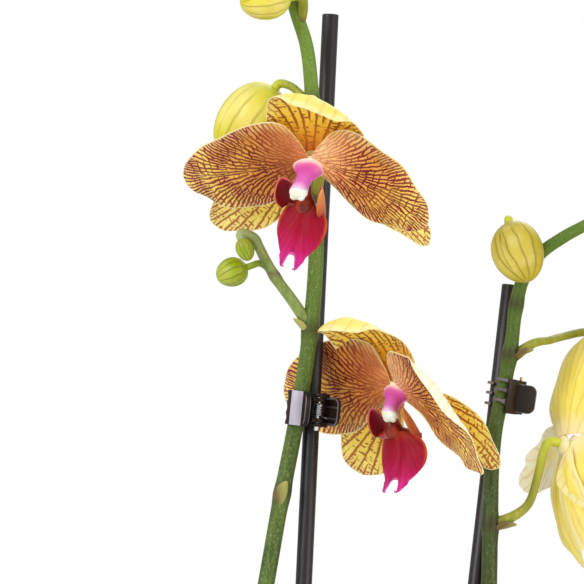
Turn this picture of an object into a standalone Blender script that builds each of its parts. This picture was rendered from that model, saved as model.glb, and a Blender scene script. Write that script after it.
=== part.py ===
"""A moth orchid in its pot: two flower spikes clipped to stakes, with buds and four open blooms.

Sizes in this file are in millimetres until place() turns them into metres. The origin is at the
middle of the pot's underside, +Z is up and the blooms look towards -Y.
"""
import random
from math import cos, pi, radians, sin, sqrt

import bmesh
import bpy
import numpy as np
from mathutils import Matrix, Vector

MM = 0.001
GAP = 0.3                     # clearance between pieces that touch

# Pot
POT_TOP_RADIUS = 62.0
POT_BASE_RADIUS = 46.0
POT_HEIGHT = 122.0
POT_WALL = 2.4
POT_RIM = 2.6                 # how far the rolled rim stands out
POT_STEPS = 36
DRAIN_RADIUS = 4.5
DRAIN_CIRCLE = 27.0

# Growing medium and crown
BARK_TOP = 108.0
CHIP_COUNT = 22
CROWN_TOP = 152.0
CROWN_HALF = (12.0, 9.0)      # half widths across and fore-and-aft

# Spikes, stakes and clips
STEM_RADIUS = 2.6
STAKE_RADIUS = 2.65
CLIP_HALF_HEIGHT = 5.5
CLIP_REACH = 10.1             # from the pin to the finger tips
PIN_RADIUS = 0.9
PIN_CLEARANCE = 0.08

# Petals and leaves
PETAL_THICK = 0.8
LEAF_THICK = 1.7
LAST_ROW = 0.965              # where a blade's last row of points stops short of its tip


def start_empty():
    for thing in list(bpy.data.objects):
        bpy.data.objects.remove(thing, do_unlink=True)


def material(name, colour, roughness, metallic=0.0):
    made = bpy.data.materials.new(name)
    made.use_nodes = True
    shader = made.node_tree.nodes["Principled BSDF"]
    shader.inputs["Base Color"].default_value = (*colour, 1.0)
    shader.inputs["Roughness"].default_value = roughness
    shader.inputs["Metallic"].default_value = metallic
    return made


def place(name, mesh, look):
    """Puts a mesh into the scene as a sub-part of that name."""
    mesh.name = name
    mesh.materials.clear()
    if look is not None:
        mesh.materials.append(look)
    thing = bpy.data.objects.new(name, mesh)
    bpy.context.collection.objects.link(thing)
    return thing


def finished(thing):
    """The thing's shape with its modifiers worked out; the thing itself is taken away."""
    bpy.context.view_layer.update()
    graph = bpy.context.evaluated_depsgraph_get()
    mesh = bpy.data.meshes.new_from_object(thing.evaluated_get(graph))
    bpy.data.objects.remove(thing, do_unlink=True)
    return mesh


def from_bmesh(shape, name="shape"):
    mesh = bpy.data.meshes.new(name)
    shape.to_mesh(mesh)
    shape.free()
    return mesh


def triangles(mesh):
    """Splits every face into triangles, so that curved faces stay the same through a Boolean."""
    shape = bmesh.new()
    shape.from_mesh(mesh)
    bmesh.ops.triangulate(shape, faces=shape.faces[:])
    shape.to_mesh(mesh)
    shape.free()
    return mesh


def tidied(mesh):
    """Joins points that a Boolean left closer than a few thousandths of a millimetre."""
    shape = bmesh.new()
    shape.from_mesh(mesh)
    bmesh.ops.remove_doubles(shape, verts=shape.verts[:], dist=0.003 * MM)
    bmesh.ops.triangulate(shape, faces=shape.faces[:])
    bmesh.ops.recalc_face_normals(shape, faces=shape.faces[:])
    shape.to_mesh(mesh)
    shape.free()
    return mesh


def closed(mesh):
    shape = bmesh.new()
    shape.from_mesh(mesh)
    whole = all(len(edge.link_faces) == 2 for edge in shape.edges)
    shape.free()
    return whole


def boolean(mesh, others, operation, solver="EXACT"):
    """One Boolean of a mesh with a list of others, all in the same frame."""
    group = bpy.data.collections.new("operands")
    bpy.context.scene.collection.children.link(group)
    for number, other in enumerate(others):
        group.objects.link(bpy.data.objects.new(f"operand_{number}", triangles(other)))
    base = place("base", triangles(mesh), None)
    step = base.modifiers.new("Boolean", "BOOLEAN")
    step.operation = operation
    step.operand_type = "COLLECTION"
    step.collection = group
    step.solver = solver
    made = finished(base)
    for other in list(group.objects):
        bpy.data.objects.remove(other, do_unlink=True)
    bpy.data.collections.remove(group)
    return tidied(made)


def combined(mesh, others, operation):
    """The exact Boolean, or the manifold one where the exact one leaves an open edge."""
    made = boolean(mesh, others, operation)
    return made if closed(made) else boolean(mesh, others, operation, "MANIFOLD")


def fused(meshes):
    return combined(meshes[0], meshes[1:], "UNION")


def cut(mesh, cutters):
    return combined(mesh, cutters, "DIFFERENCE")


# Curves and simple solids

def through(points, count):
    """Points along a smooth curve (Catmull-Rom) through the given ones."""
    p = np.array(points, float)
    p = np.vstack([2 * p[0] - p[1], p, 2 * p[-1] - p[-2]])
    spans = len(p) - 3
    line = []
    for t in np.linspace(0, spans, count):
        i = min(int(t), spans - 1)
        s = t - i
        a, b, c, d = p[i:i + 4]
        line.append(0.5 * (2 * b + (c - a) * s + (2 * a - 5 * b + 4 * c - d) * s * s
                           + (3 * b - a - 3 * c + d) * s ** 3))
    return np.array(line)


def route(points, count):
    """Evenly spaced points along a smooth curve through the given ones, for stems and roots."""
    p = np.array(points, float)
    gaps = np.linalg.norm(np.diff(p, axis=0), axis=1)
    marks = np.concatenate([[0], np.cumsum(gaps)])
    slopes = np.diff(p, axis=0) / gaps[:, None]
    before, after = gaps[:-1, None], gaps[1:, None]
    inner = (slopes[:-1] * after + slopes[1:] * before) / (before + after)
    tangents = np.vstack([slopes[:1], inner, slopes[-1:]])
    line = []
    for s in np.linspace(0, marks[-1], count):
        i = min(int(np.searchsorted(marks, s, "right")) - 1, len(gaps) - 1)
        t = (s - marks[i]) / gaps[i]
        line.append((2 * t ** 3 - 3 * t ** 2 + 1) * p[i] + (t ** 3 - 2 * t ** 2 + t) * gaps[i] * tangents[i]
                    + (3 * t ** 2 - 2 * t ** 3) * p[i + 1] + (t ** 3 - t ** 2) * gaps[i] * tangents[i + 1])
    return np.array(line)


def graph(points, t):
    """Height at t of a smooth graph through (t, height) points."""
    line = through(points, 120)
    return float(np.interp(t, line[:, 0], line[:, 1]))


def tube(points, radii, sides=8):
    """Round rod with filled ends along points, with a radius at each."""
    curve = bpy.data.curves.new("tube", "CURVE")
    curve.dimensions = "3D"
    curve.bevel_depth = MM
    curve.bevel_resolution = (sides - 4) // 2
    curve.use_fill_caps = True
    spline = curve.splines.new("POLY")
    spline.points.add(len(points) - 1)
    for point, position, radius in zip(spline.points, points, radii):
        point.co = (*(Vector(position) * MM), 1.0)
        point.radius = radius
    mesh = finished(place_curve(curve))
    shape = bmesh.new()
    shape.from_mesh(mesh)
    bmesh.ops.remove_doubles(shape, verts=shape.verts[:], dist=0.001 * MM)
    shape.to_mesh(mesh)
    shape.free()
    return mesh


def place_curve(curve):
    thing = bpy.data.objects.new("tube", curve)
    bpy.context.collection.objects.link(thing)
    return thing


def smooth_tube(points, radius, count, sides=8):
    """Rod along a smooth curve through points; radius is a number or a (t, radius) graph."""
    line = route(points, count)
    steps = np.linspace(0, 1, count)
    radii = [radius if isinstance(radius, (int, float)) else graph(radius, t) for t in steps]
    return tube(line, radii, sides)


def rod(bottom, top, radius, sides=16):
    """Straight cylinder between two points."""
    a, b = Vector(bottom), Vector(top)
    shape = bmesh.new()
    bmesh.ops.create_cone(shape, cap_ends=True, segments=sides, radius1=radius * MM, radius2=radius * MM,
                          depth=(b - a).length * MM)
    turn = (b - a).to_track_quat("Z", "Y").to_matrix().to_4x4()
    shape.transform(Matrix.Translation((a + b) / 2 * MM) @ turn)
    return from_bmesh(shape)


def prism(outline, low, high):
    """Solid of an outline in X and Y between two heights."""
    shape = bmesh.new()
    ring = [shape.verts.new((x * MM, y * MM, low * MM)) for x, y in outline]
    face = shape.faces.new(ring)
    face.normal_update()
    if face.normal.z > 0:
        face.normal_flip()
    raised = bmesh.ops.extrude_face_region(shape, geom=[face])
    tops = [v for v in raised["geom"] if isinstance(v, bmesh.types.BMVert)]
    bmesh.ops.translate(shape, verts=tops, vec=(0, 0, (high - low) * MM))
    bmesh.ops.recalc_face_normals(shape, faces=shape.faces[:])
    return from_bmesh(shape)


def turned(profile, steps, smooth=True):
    """Solid of revolution about Z: the profile starts on the axis and runs down its outer side."""
    mesh = bpy.data.meshes.new("profile")
    mesh.from_pydata([(r * MM, 0, z * MM) for r, z in profile], [(i, i + 1) for i in range(len(profile) - 1)], [])
    thing = place("profile", mesh, None)
    screw = thing.modifiers.new("Screw", "SCREW")
    screw.axis = "Z"
    screw.steps = steps
    screw.render_steps = steps
    screw.use_merge_vertices = True
    screw.merge_threshold = 0.0001
    screw.use_smooth_shade = smooth
    return finished(thing)


def egg(base, tip, half_width, ribs=0.0, rings=8, sides=12, fullness=0.45, turn=0.0):
    """Bud-shaped solid from base to tip, widest at fullness of its length."""
    a, b = Vector(base), Vector(tip)
    length = (b - a).length
    shape = bmesh.new()
    bmesh.ops.create_uvsphere(shape, u_segments=sides, v_segments=rings, radius=1.0)
    for v in shape.verts:
        t = (v.co.z + 1) / 2
        around = np.arctan2(v.co.y, v.co.x)
        ring = sqrt(v.co.x ** 2 + v.co.y ** 2)
        skew = 1 + (0.5 - fullness) * 1.3 * (1 - 2 * t)
        r = half_width * ring * skew * (1 + ribs * cos(3 * around + turn))
        v.co = Vector((r * cos(around), r * sin(around), t * length)) * MM
    frame = (b - a).to_track_quat("Z", "Y").to_matrix().to_4x4()
    shape.transform(Matrix.Translation(a * MM) @ frame)
    return from_bmesh(shape)


# Blades: sepals, petals, lips and leaves

PETAL = ((0, .2), (.08, .5), (.18, .8), (.3, .98), (.55, 1.0), (1, .95))
UPPER = ((0, .82), (.05, .95), (.14, 1.03), (.28, 1.05), (.55, 1.03), (1, .95))
LOWER = ((0, .14), (.1, .3), (.24, .5), (.4, .83), (.6, 1.03), (.8, 1.08), (1, 1.0))
SHOULDER = ((0, .5), (.05, 1.06), (.14, 1.4), (.26, 1.42), (.42, 1.34), (.6, 1.18), (.8, .94), (1, .6))
SLIM = ((0, .14), (.1, .26), (.24, .4), (.4, .6), (.6, .74), (.8, .69), (1, .51))
SEPAL = ((0, .3), (.2, .48), (.35, .74), (.5, .93), (.7, 1.04), (1, 1.0))
HOOD = ((0, .4), (.14, .7), (.28, .9), (.5, .95), (.75, .96), (1, 1.0))
HALF_HOOD = ((0, .4), (.14, .56), (.35, .62), (.55, .66), (.75, .85), (1, 1.0))
LOBE = ((0, .35), (.12, .8), (.3, 1.0), (.48, .95), (.66, .7), (.82, .42), (1, .38))
EAR = ((0, .6), (.3, .9), (.6, 1), (1, 1))
STRAP = ((0, .3), (.1, .38), (.3, .78), (.55, 1.0), (.8, .98), (1, .9))


def blade_point(u, v, turn, length, width, outline=PETAL, right=None, root=(0, 0, 0), rise=0, curl=0, hook=0,
                hook_from=.6, twist=0, twist_tip=0, cup=0, cup_tip=None, bow=0, point=2.4):
    """Point of a blade at u across (-1 to 1) and v along (0 to 1).

    The blade leaves root towards turn degrees clockwise from +Y, in the XY plane. Its midrib climbs
    towards +Z by rise, changes by curl over its length and by hook near its tip. Its cross-section is
    an arc that bends through cup degrees on each side, towards +Z when positive. The outline gives its
    half width along it, and right, where there is one, that of its right side.
    """
    cup_tip = cup if cup_tip is None else cup_tip
    along = np.array([sin(radians(turn)), cos(radians(turn)), 0])
    up = np.array([0, 0, 1.0])
    across = np.cross(along, up)
    t = sin(pi / 2 * LAST_ROW * v)
    middles = (np.arange(24) + .5) * t / 24
    angles = np.radians(rise + curl * middles + hook * np.maximum(0, middles - hook_from) ** 2)
    reach, climb = np.cos(angles).sum() * t / 24, np.sin(angles).sum() * t / 24
    angle = radians(rise + curl * t + hook * max(0, t - hook_from) ** 2)
    normal = -sin(angle) * along + cos(angle) * up
    spin = radians(twist + twist_tip * t)
    side = cos(spin) * across + sin(spin) * normal
    face = -sin(spin) * across + cos(spin) * normal
    side_line = right if right and u > 0 else outline
    half = width / 2 * graph(side_line, t) * sqrt(1 - t ** point)
    bend = radians(cup + (cup_tip - cup) * t) * u
    if abs(bend) < 1e-6:
        over, out = half * u, 0.0
    else:
        over, out = half * u * sin(bend) / bend, half * u * (1 - cos(bend)) / bend
    over += bow * 4 * t * (1 - t)
    return np.array(root) + length * (reach * along + climb * up) + over * side + out * face


def blade(shape, columns=5, rows=6, thickness=PETAL_THICK):
    """Closed blade of even thickness, split into the same triangles on both faces."""
    sheet = bmesh.new()
    bmesh.ops.create_grid(sheet, x_segments=columns, y_segments=rows, size=1.0)
    for v in sheet.verts:
        v.co = Vector(blade_point(v.co.x, (v.co.y + 1) / 2, **shape)) * MM
    bmesh.ops.triangulate(sheet, faces=sheet.faces[:])
    thing = place("blade", from_bmesh(sheet), None)
    solid = thing.modifiers.new("Solidify", "SOLIDIFY")
    solid.thickness = thickness * MM
    solid.offset = 0.0
    return finished(thing)


def slab(points, thickness, low, high):
    """Wall of even thickness that follows a line in X and Y, between two heights."""
    line = [Vector(p) for p in points]
    left, right = [], []
    for i, here in enumerate(line):
        before = line[max(i - 1, 0)]
        after = line[min(i + 1, len(line) - 1)]
        way = (after - before).normalized()
        normal = Vector((-way.y, way.x))
        left.append(here + normal * thickness / 2)
        right.append(here - normal * thickness / 2)
    return prism([(p.x, p.y) for p in left + right[::-1]], low, high)


# Pot, growing medium, crown, roots and leaves

def pot_inside(z):
    """Radius of the pot's inner wall at a height."""
    floor = POT_WALL + 0.2
    return POT_BASE_RADIUS - POT_WALL + (z - floor) / (POT_HEIGHT - floor) * (POT_TOP_RADIUS - POT_BASE_RADIUS)


def make_pot(look):
    floor = POT_WALL + 0.2
    top = POT_HEIGHT
    profile = [(0, floor), (pot_inside(floor), floor), (pot_inside(top - 2), top - 2),
               (pot_inside(top) + 0.4, top - 0.5), (POT_TOP_RADIUS + 0.6, top), (POT_TOP_RADIUS + POT_RIM - 0.6, top),
               (POT_TOP_RADIUS + POT_RIM, top - 1.2), (POT_TOP_RADIUS + POT_RIM, top - 9),
               (POT_TOP_RADIUS - 1.2, top - 10.5), (POT_BASE_RADIUS + 0.4, 1.6), (POT_BASE_RADIUS - 1, 0), (0, 0)]
    holes = []
    for i in range(4):
        angle = radians(45 + 90 * i)
        x, y = DRAIN_CIRCLE * cos(angle), DRAIN_CIRCLE * sin(angle)
        holes.append(rod((x, y, -2), (x, y, floor + 3), DRAIN_RADIUS, 12))
    return place("pot", cut(turned(profile, POT_STEPS), holes), look)


CROWN_PROFILE = ((0, CROWN_TOP), (6, CROWN_TOP - 1), (9.4, CROWN_TOP - 3), (11.2, CROWN_TOP - 8),
                 (CROWN_HALF[0], CROWN_TOP - 16), (CROWN_HALF[0], 100), (9.5, 84), (0, 80))


def crown_shape(margin=0.0):
    wide, deep = CROWN_HALF
    mesh = turned([(r + margin if r else 0, z + (margin if z > 100 else -margin)) for r, z in CROWN_PROFILE], 16)
    mesh.transform(Matrix.Diagonal((1, deep / wide, 1, 1)))
    return mesh


def crown_reach(turn, z):
    """How far the crown stands out at a height, in a direction clockwise from +Y."""
    wide, deep = CROWN_HALF
    radius = float(np.interp(-z, [-h for r, h in CROWN_PROFILE], [r for r, h in CROWN_PROFILE]))
    return sqrt((radius * sin(radians(turn))) ** 2 + (radius * deep / wide * cos(radians(turn))) ** 2)


# A stake is a straight rod: a point on it, its lean in X and Y per millimetre of height, and its top
STAKE_FOOT = 12.0
STAKE_1 = ((-5.75, 2.84, 396.2), (.0475, .0862), 523.0)
STAKE_2 = ((53.9, 5.65, 400.5), (.119, .105), 435.7)


def on_stake(stake, z):
    (x, y, height), (lean_x, lean_y), _ = stake
    return (x + (z - height) * lean_x, y + (z - height) * lean_y, z)


def make_stake(name, stake, look):
    return place(name, rod(on_stake(stake, STAKE_FOOT), on_stake(stake, stake[2]), STAKE_RADIUS, 12), look)


def make_bark(look, stakes):
    chance = random.Random(7)
    core = turned([(0, BARK_TOP), (pot_inside(BARK_TOP) - 1.5, BARK_TOP - 1),
                   (pot_inside(BARK_TOP - 3) - GAP, BARK_TOP - 3),
                   (pot_inside(POT_WALL + 0.5) - GAP, POT_WALL + 0.2 + GAP), (0, POT_WALL + 0.2 + GAP)], POT_STEPS)
    chips = []
    for i in range(CHIP_COUNT):
        angle = i * 2.39996
        reach = 17 + 27.5 * sqrt((i + 0.5) / CHIP_COUNT)
        shape = bmesh.new()
        bmesh.ops.create_cube(shape, size=1.0)
        size = Vector((chance.uniform(15, 21), chance.uniform(9, 13), chance.uniform(5.5, 8)))
        for v in shape.verts:
            v.co = Vector([v.co[k] * size[k] * chance.uniform(0.72, 1.1) for k in range(3)]) * MM
        lean = Matrix.Rotation(radians(chance.uniform(-22, 22)), 4, "X")
        lean = lean @ Matrix.Rotation(radians(chance.uniform(-22, 22)), 4, "Y")
        spin = Matrix.Rotation(chance.uniform(0, pi), 4, "Z")
        spot = Vector((reach * cos(angle), reach * sin(angle), BARK_TOP + chance.uniform(0, 2.2))) * MM
        shape.transform(Matrix.Translation(spot) @ spin @ lean)
        chips.append(from_bmesh(shape))
    heap = fused([core] + chips)
    holes = [crown_shape(0.4)]
    for stake in stakes:
        holes.append(rod(on_stake(stake, STAKE_FOOT - GAP), on_stake(stake, BARK_TOP + 25), STAKE_RADIUS + 0.4, 12))
    return place("bark", cut(heap, holes), look)


ROOTS = (
    (-32, ((12, 116), (24, 121), (44, 126), (60, 128.5), (70, 124), (75, 108), (74, 88), (79, 66))),
    (-148, ((12, 117), (26, 123), (46, 127), (60, 128), (69, 121), (72, 104), (76, 86))),
    (72, ((10, 116), (24, 122), (44, 126), (61, 128.5), (72, 126), (82, 116), (88, 98), (86, 80), (91, 60))),
    (118, ((10, 117), (24, 122), (46, 126.5), (60, 128), (70, 122), (73, 104), (70.5, 86), (72, 70))),
)


def make_roots(look):
    """Aerial roots that leave the crown, cross the rim and hang outside the pot."""
    for number, (heading, line) in enumerate(ROOTS, 1):
        way = radians(heading)
        points = []
        for k, (reach, z) in enumerate(line):
            drift = way + radians(7 * sin(k * 1.3 + number))
            points.append((reach * cos(drift), reach * sin(drift), z))
        wide, deep = CROWN_HALF
        start = Vector((cos(way), sin(way)))
        edge = 1 / sqrt((start.x / wide) ** 2 + (start.y / deep) ** 2) + GAP + 1.3
        points[0] = (start.x * edge, start.y * edge, line[0][1])
        place(f"root_{number}", smooth_tube(points, ((0, 2.4), (.3, 2.6), (.8, 2.4), (1, 1.5)), 14, 8), look)


LEAVES = (
    dict(turn=83, height=126, length=186, width=66, rise=36, curl=-62, cup=20),
    dict(turn=-82, height=131, length=178, width=64, rise=42, curl=-66, cup=20),
    dict(turn=77, height=137, length=152, width=58, rise=50, curl=-58, cup=22),
    dict(turn=-75, height=141, length=142, width=56, rise=55, curl=-60, cup=22),
    dict(turn=68, height=147, length=104, width=46, rise=64, curl=-52, cup=26),
)
NEW_LEAF = dict(turn=-62, root=(-4.6, 2.2, 152.1), length=72, width=36, rise=72, curl=-40, cup=34)


def make_leaves(look):
    """Two ranks of leaves seated on the crown, and a new one standing on its top."""
    shapes = []
    for leaf in LEAVES:
        shape = dict(leaf)
        height = shape.pop("height")
        lean = LEAF_THICK / 2 * sin(radians(leaf["rise"]))
        reach = crown_reach(leaf["turn"], height - LEAF_THICK / 2) + GAP + lean
        shape["root"] = (reach * sin(radians(leaf["turn"])), reach * cos(radians(leaf["turn"])), height)
        shapes.append(shape)
    for number, shape in enumerate(shapes + [NEW_LEAF], 1):
        place(f"leaf_{number}", blade(dict(shape, outline=STRAP, point=3.2), 4, 10, LEAF_THICK), look)


# Blooms. Each looks along its own +Z, with +Y towards its back sepal and +X to its right.

def bloom_frame(centre, yaw, nod, roll):
    turn = Matrix.Rotation(radians(yaw), 4, "Z") @ Matrix.Rotation(radians(nod), 4, "X")
    return (Matrix.Translation(Vector(centre) * MM) @ turn @ Matrix.Rotation(pi / 2, 4, "X")
            @ Matrix.Rotation(radians(-roll), 4, "Z"))


SEAT_RADIUS = 5.2
SEAT_FRONT = 2.4
SEAT_BACK = -4.0

BLOOMS = {
    1: dict(
        frame=((-6.4, -22, 474.4), -20, 36, 8),
        dorsal=dict(turn=8.9, length=40.8, width=34.7, root=(0, 1.4, -2.2), rise=-8.3, curl=63.8, hook=350, cup=12,
                    cup_tip=42, twist=-14, twist_tip=25, bow=.6, point=4),
        petal_l=dict(turn=-110, length=44.6, width=33, outline=LOWER, right=UPPER, root=(-1.6, 1, 1.2),
                     rise=5.8, curl=-18.7, cup=-6.6, twist=3.3, bow=.4),
        petal_r=dict(turn=115.5, length=40.8, width=30.1, outline=UPPER, right=LOWER, root=(1.8, 1, 1.0),
                     rise=12.4, curl=-15.8, cup=-17.6, twist=-1.8, bow=-3.1),
        lateral_l=dict(turn=-133.5, length=47.2, width=25, root=(-2, -2, -2), rise=-5, curl=-1, cup=16.6, twist=11),
        lateral_r=dict(turn=129, length=44.1, width=19.9, root=(2, -2, -2), rise=-2, curl=-1, cup=30, twist=73,
                       bow=-2.8),
        lobe=dict(turn=194, length=20.9, width=16.7, root=(1.2, -9.6, 9.4), rise=43, curl=-4, cup=-26, twist=-12),
        ears=(dict(turn=-4, root=(-5.4, -11.5, 8), twist=-50), dict(turn=2, root=(5.2, -12.6, 8.6), twist=84)),
    ),
    2: dict(
        frame=((20.8, -.4, 402.7), -38, 35, 0),
        dorsal=dict(turn=-5, length=38.2, width=33.4, right=HALF_HOOD, root=(0, 1.4, -2.4), rise=-14, curl=68,
                    hook=371, cup=4, cup_tip=46, twist=-9.3, twist_tip=20, bow=1.2, point=4),
        petal_l=dict(turn=-93.8, length=41.8, width=33.9, outline=LOWER, right=UPPER, root=(-1.6, 1, 1.2),
                     rise=10.8, curl=-15.2, cup=-6.9, twist=-12, bow=.4),
        petal_r=dict(turn=109.6, length=47.3, width=33.7, outline=SHOULDER, right=SLIM, root=(3.4, -1, 1),
                     rise=24.1, curl=8.7, cup=8.9, cup_tip=4.7, twist=-16.3, twist_tip=19.7, bow=-4.9),
        lateral_l=dict(turn=-139.3, length=40.3, width=26.5, root=(-2, -2, -2), rise=6.9, curl=-1.8, cup=18.5,
                       twist=3.9, bow=-.7),
        lateral_r=dict(turn=120.3, length=42.9, width=19.8, root=(2, -2, -2), rise=8, curl=16.2, cup=23.4,
                       twist=21.9, bow=-1.3),
        lobe=dict(turn=169, length=19.6, width=17.5, root=(0, -9.6, 9.4), rise=42, curl=14, cup=-31, bow=-2),
        ears=(dict(turn=6, root=(-6.2, -10.8, 8), twist=-50), dict(turn=0, root=(6, -12.6, 8.6), twist=62)),
    ),
    3: dict(
        frame=((77.4, 2, 384.8), 108, 5, 10),
        dorsal=dict(turn=.3, length=41.1, width=34.5, root=(0, 3, -1), rise=3, curl=30, hook=120, cup=24,
                    twist=-20, point=4),
        petal_l=dict(turn=-136.5, length=39.7, width=31.9, root=(-3, 1, 0), rise=12.6, cup=-4.5, twist=40.4,
                     bow=2.4),
        petal_r=dict(turn=103, length=38, width=20, root=(3, 1, 0), rise=0, curl=-6, cup=-4, twist=3),
        lateral_l=dict(turn=-162, length=45.5, width=15, root=(-2, -2, -2), rise=-20, curl=72, cup=11.7,
                       twist=20, bow=1.6),
        lateral_r=dict(turn=170, length=40, width=20, root=(2, -2, -2), rise=-14, curl=60, cup=12),
        lobe=dict(turn=180, length=20.9, width=16.7, root=(0, -9.6, 9.4), rise=43, curl=-4, cup=-26),
        ears=(dict(turn=-2, root=(-5.6, -11.6, 8), twist=-50), dict(turn=2, root=(5.6, -11.6, 8), twist=50)),
    ),
    4: dict(
        frame=((110, 27, 417), 98, 12, 4),
        dorsal=dict(turn=0, length=40, width=33, root=(0, 3, -1), rise=-4, curl=40, hook=100, cup=24, point=4),
        petal_l=dict(turn=-92, length=40, width=33, root=(-3, 1, 0), rise=4, curl=-18, cup=-8, bow=.4),
        petal_r=dict(turn=94, length=40, width=33, root=(3, 1, 0), rise=4, curl=-16, cup=-8, bow=-.4),
        lateral_l=dict(turn=-138, length=42, width=25, root=(-2, -2, -2), rise=-8, curl=-4, cup=16, twist=8),
        lateral_r=dict(turn=138, length=42, width=25, root=(2, -2, -2), rise=-8, curl=-4, cup=16, twist=-8),
        lobe=dict(turn=180, length=20.9, width=16.7, root=(0, -9.6, 9.4), rise=43, curl=-4, cup=-26),
        ears=(dict(turn=-2, root=(-5.6, -11.6, 8), twist=-50), dict(turn=2, root=(5.6, -11.6, 8), twist=50)),
    ),
}


def behind(number, back, aside=(0, 0)):
    """World point that far behind a bloom's seat, in millimetres."""
    spot = bloom_frame(*BLOOMS[number]["frame"]) @ (Vector((aside[0], aside[1], SEAT_BACK - GAP - back)) * MM)
    return tuple(spot / MM)


def make_bloom(number, looks):
    plan = BLOOMS[number]
    frame = bloom_frame(*plan["frame"])
    seat = rod((0, 0, SEAT_BACK), (0, 0, SEAT_FRONT), SEAT_RADIUS, 10)
    blades = [blade(dict(plan["dorsal"], outline=HOOD), 5, 6), blade(plan["petal_l"]), blade(plan["petal_r"])]
    blades += [blade(dict(plan[side], outline=SEPAL), 4, 6) for side in ("lateral_l", "lateral_r")]
    petals = place(f"petals_{number}", fused([seat] + blades), looks["petal"])

    claw = smooth_tube(((0, -3.9, SEAT_FRONT + GAP), (0, -4.0, 4.2), (0, -6.4, 6.6), (0, -9.6, 8.2), (0, -12.2, 8.8)),
                       ((0, 1.1), (.15, 1.2), (.5, 2.0), (.8, 3.2), (1, 3.0)), 7, 8)
    lobe = blade(dict(plan["lobe"], outline=LOBE, point=9), 4, 5, 1.0)
    left, right = plan["ears"]
    bridge = rod(left["root"], right["root"], 1.7, 8)
    ears = [blade(dict(ear, outline=EAR, length=9, width=6, rise=4, curl=12, cup=40), 2, 3, 1.0)
            for ear in (left, right)]
    lip = place(f"lip_{number}", fused([claw, bridge, lobe] + ears), looks["lip"])

    shaft = smooth_tube(((0, .2, SEAT_FRONT + GAP), (0, .2, 3.8), (0, -.6, 7), (0, -2.3, 12.2), (0, -2.8, 13.4)),
                        ((0, 2.3), (.3, 2.5), (.7, 2.8), (.93, 2.7), (1, 1.9)), 8, 8)
    column = place(f"column_{number}", shaft, looks["column"])
    for thing in (petals, lip, column):
        thing.matrix_world = frame


# Buds: name, base, tip, half width, ribs

BUDS = (
    ("bud_1", (-17.4, 7.0, 499.2), (-34.5, 11.0, 477.5), 10.2, .05, 12),
    ("bud_2", (-12.6, -6.4, 527.6), (-28.6, -10.6, 525.4), 6.6, .05, 10),
    ("bud_3", (-27.4, -10.2, 449.4), (-26.2, -11.0, 443.2), 2.4, .03, 8),
    ("bud_4", (-26.4, -2.6, 441.4), (-36.2, -3.0, 438.0), 4.7, .04, 10),
    ("bud_5", (-12.6, -2.4, 549.2), (-4.6, -6.0, 558.4), 4.2, .04, 8),
    ("bud_6", (-22.4, -6.6, 557.6), (-27.4, -9.6, 564.8), 3.0, .03, 8),
    ("bud_7", (57.2, -6.0, 455.6), (62.8, -12.0, 436.8), 8.3, .05, 12),
    ("bud_8", (101.5, 3.0, 473.4), (97.0, 1.5, 487.5), 6.2, .05, 10),
    ("bud_9", (127.6, 1.4, 470.6), (126.6, -1.2, 481.0), 4.4, .04, 8),
)


def make_buds(look):
    for name, base, tip, half_width, ribs, sides in BUDS:
        place(name, egg(base, tip, half_width, ribs, 8, sides), look)


def bud_stalk(number, *points, lead=3.2):
    """Points of a stalk that ends just short of a bud's base, in line with it for its last millimetres."""
    name, base, tip, *_ = BUDS[number - 1]
    a, b = Vector(base), Vector(tip)
    way = (b - a).normalized()
    return list(points) + [tuple(a - way * lead), tuple(a - way * GAP)]


# Spikes

SPIKE_1 = ((-5, -10.8, 124), (-5.2, -14, 124.9), (-6.4, -18.5, 131), (-9, -22.5, 150), (-17, -25, 195),
           (-25, -23.5, 245), (-27.5, -19, 285), (-25, -13, 315), (-20.5, -8, 340), (-15.7, -4.2, 367),
           (-11.2, -1.3, 390), (-9, -.8, 402), (-6.1, 0, 423), (-4.5, 0, 444), (-4.8, 0, 470), (-5.8, 0, 497),
           (-7.7, 0, 513), (-11.2, 0, 524), (-13.6, -.8, 534), (-14.6, -2, 545), (-18, -4.4, 553))
SPIKE_2 = ((5, -10.8, 124), (5.3, -14, 124.9), (7.4, -18.5, 131), (12, -23.5, 145), (24, -27.5, 160),
           (36, -27, 186), (43, -22.5, 225), (48, -13.5, 285), (50.6, -6.6, 340), (51.2, -4.2, 364), (51.6, -2.6, 377),
           (52.9, -1, 390), (55.2, 0, 400.5), (58.2, 0, 418), (59.4, 0, 428), (61.6, 0, 437), (67, 0, 445.4),
           (74.4, 0, 450.8), (84, 1, 456), (100, 2, 465.5), (114, 2, 467.5), (126, 2, 466), (138, 2, 461))


def bract(root, turn, rise, length=7.5, width=8.0, cup=85):
    """Boat-shaped scale that clasps a node."""
    return blade(dict(turn=turn, root=root, length=length, width=width, outline=STRAP, rise=rise, curl=10, cup=cup),
                 2, 3, 0.8)


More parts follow.
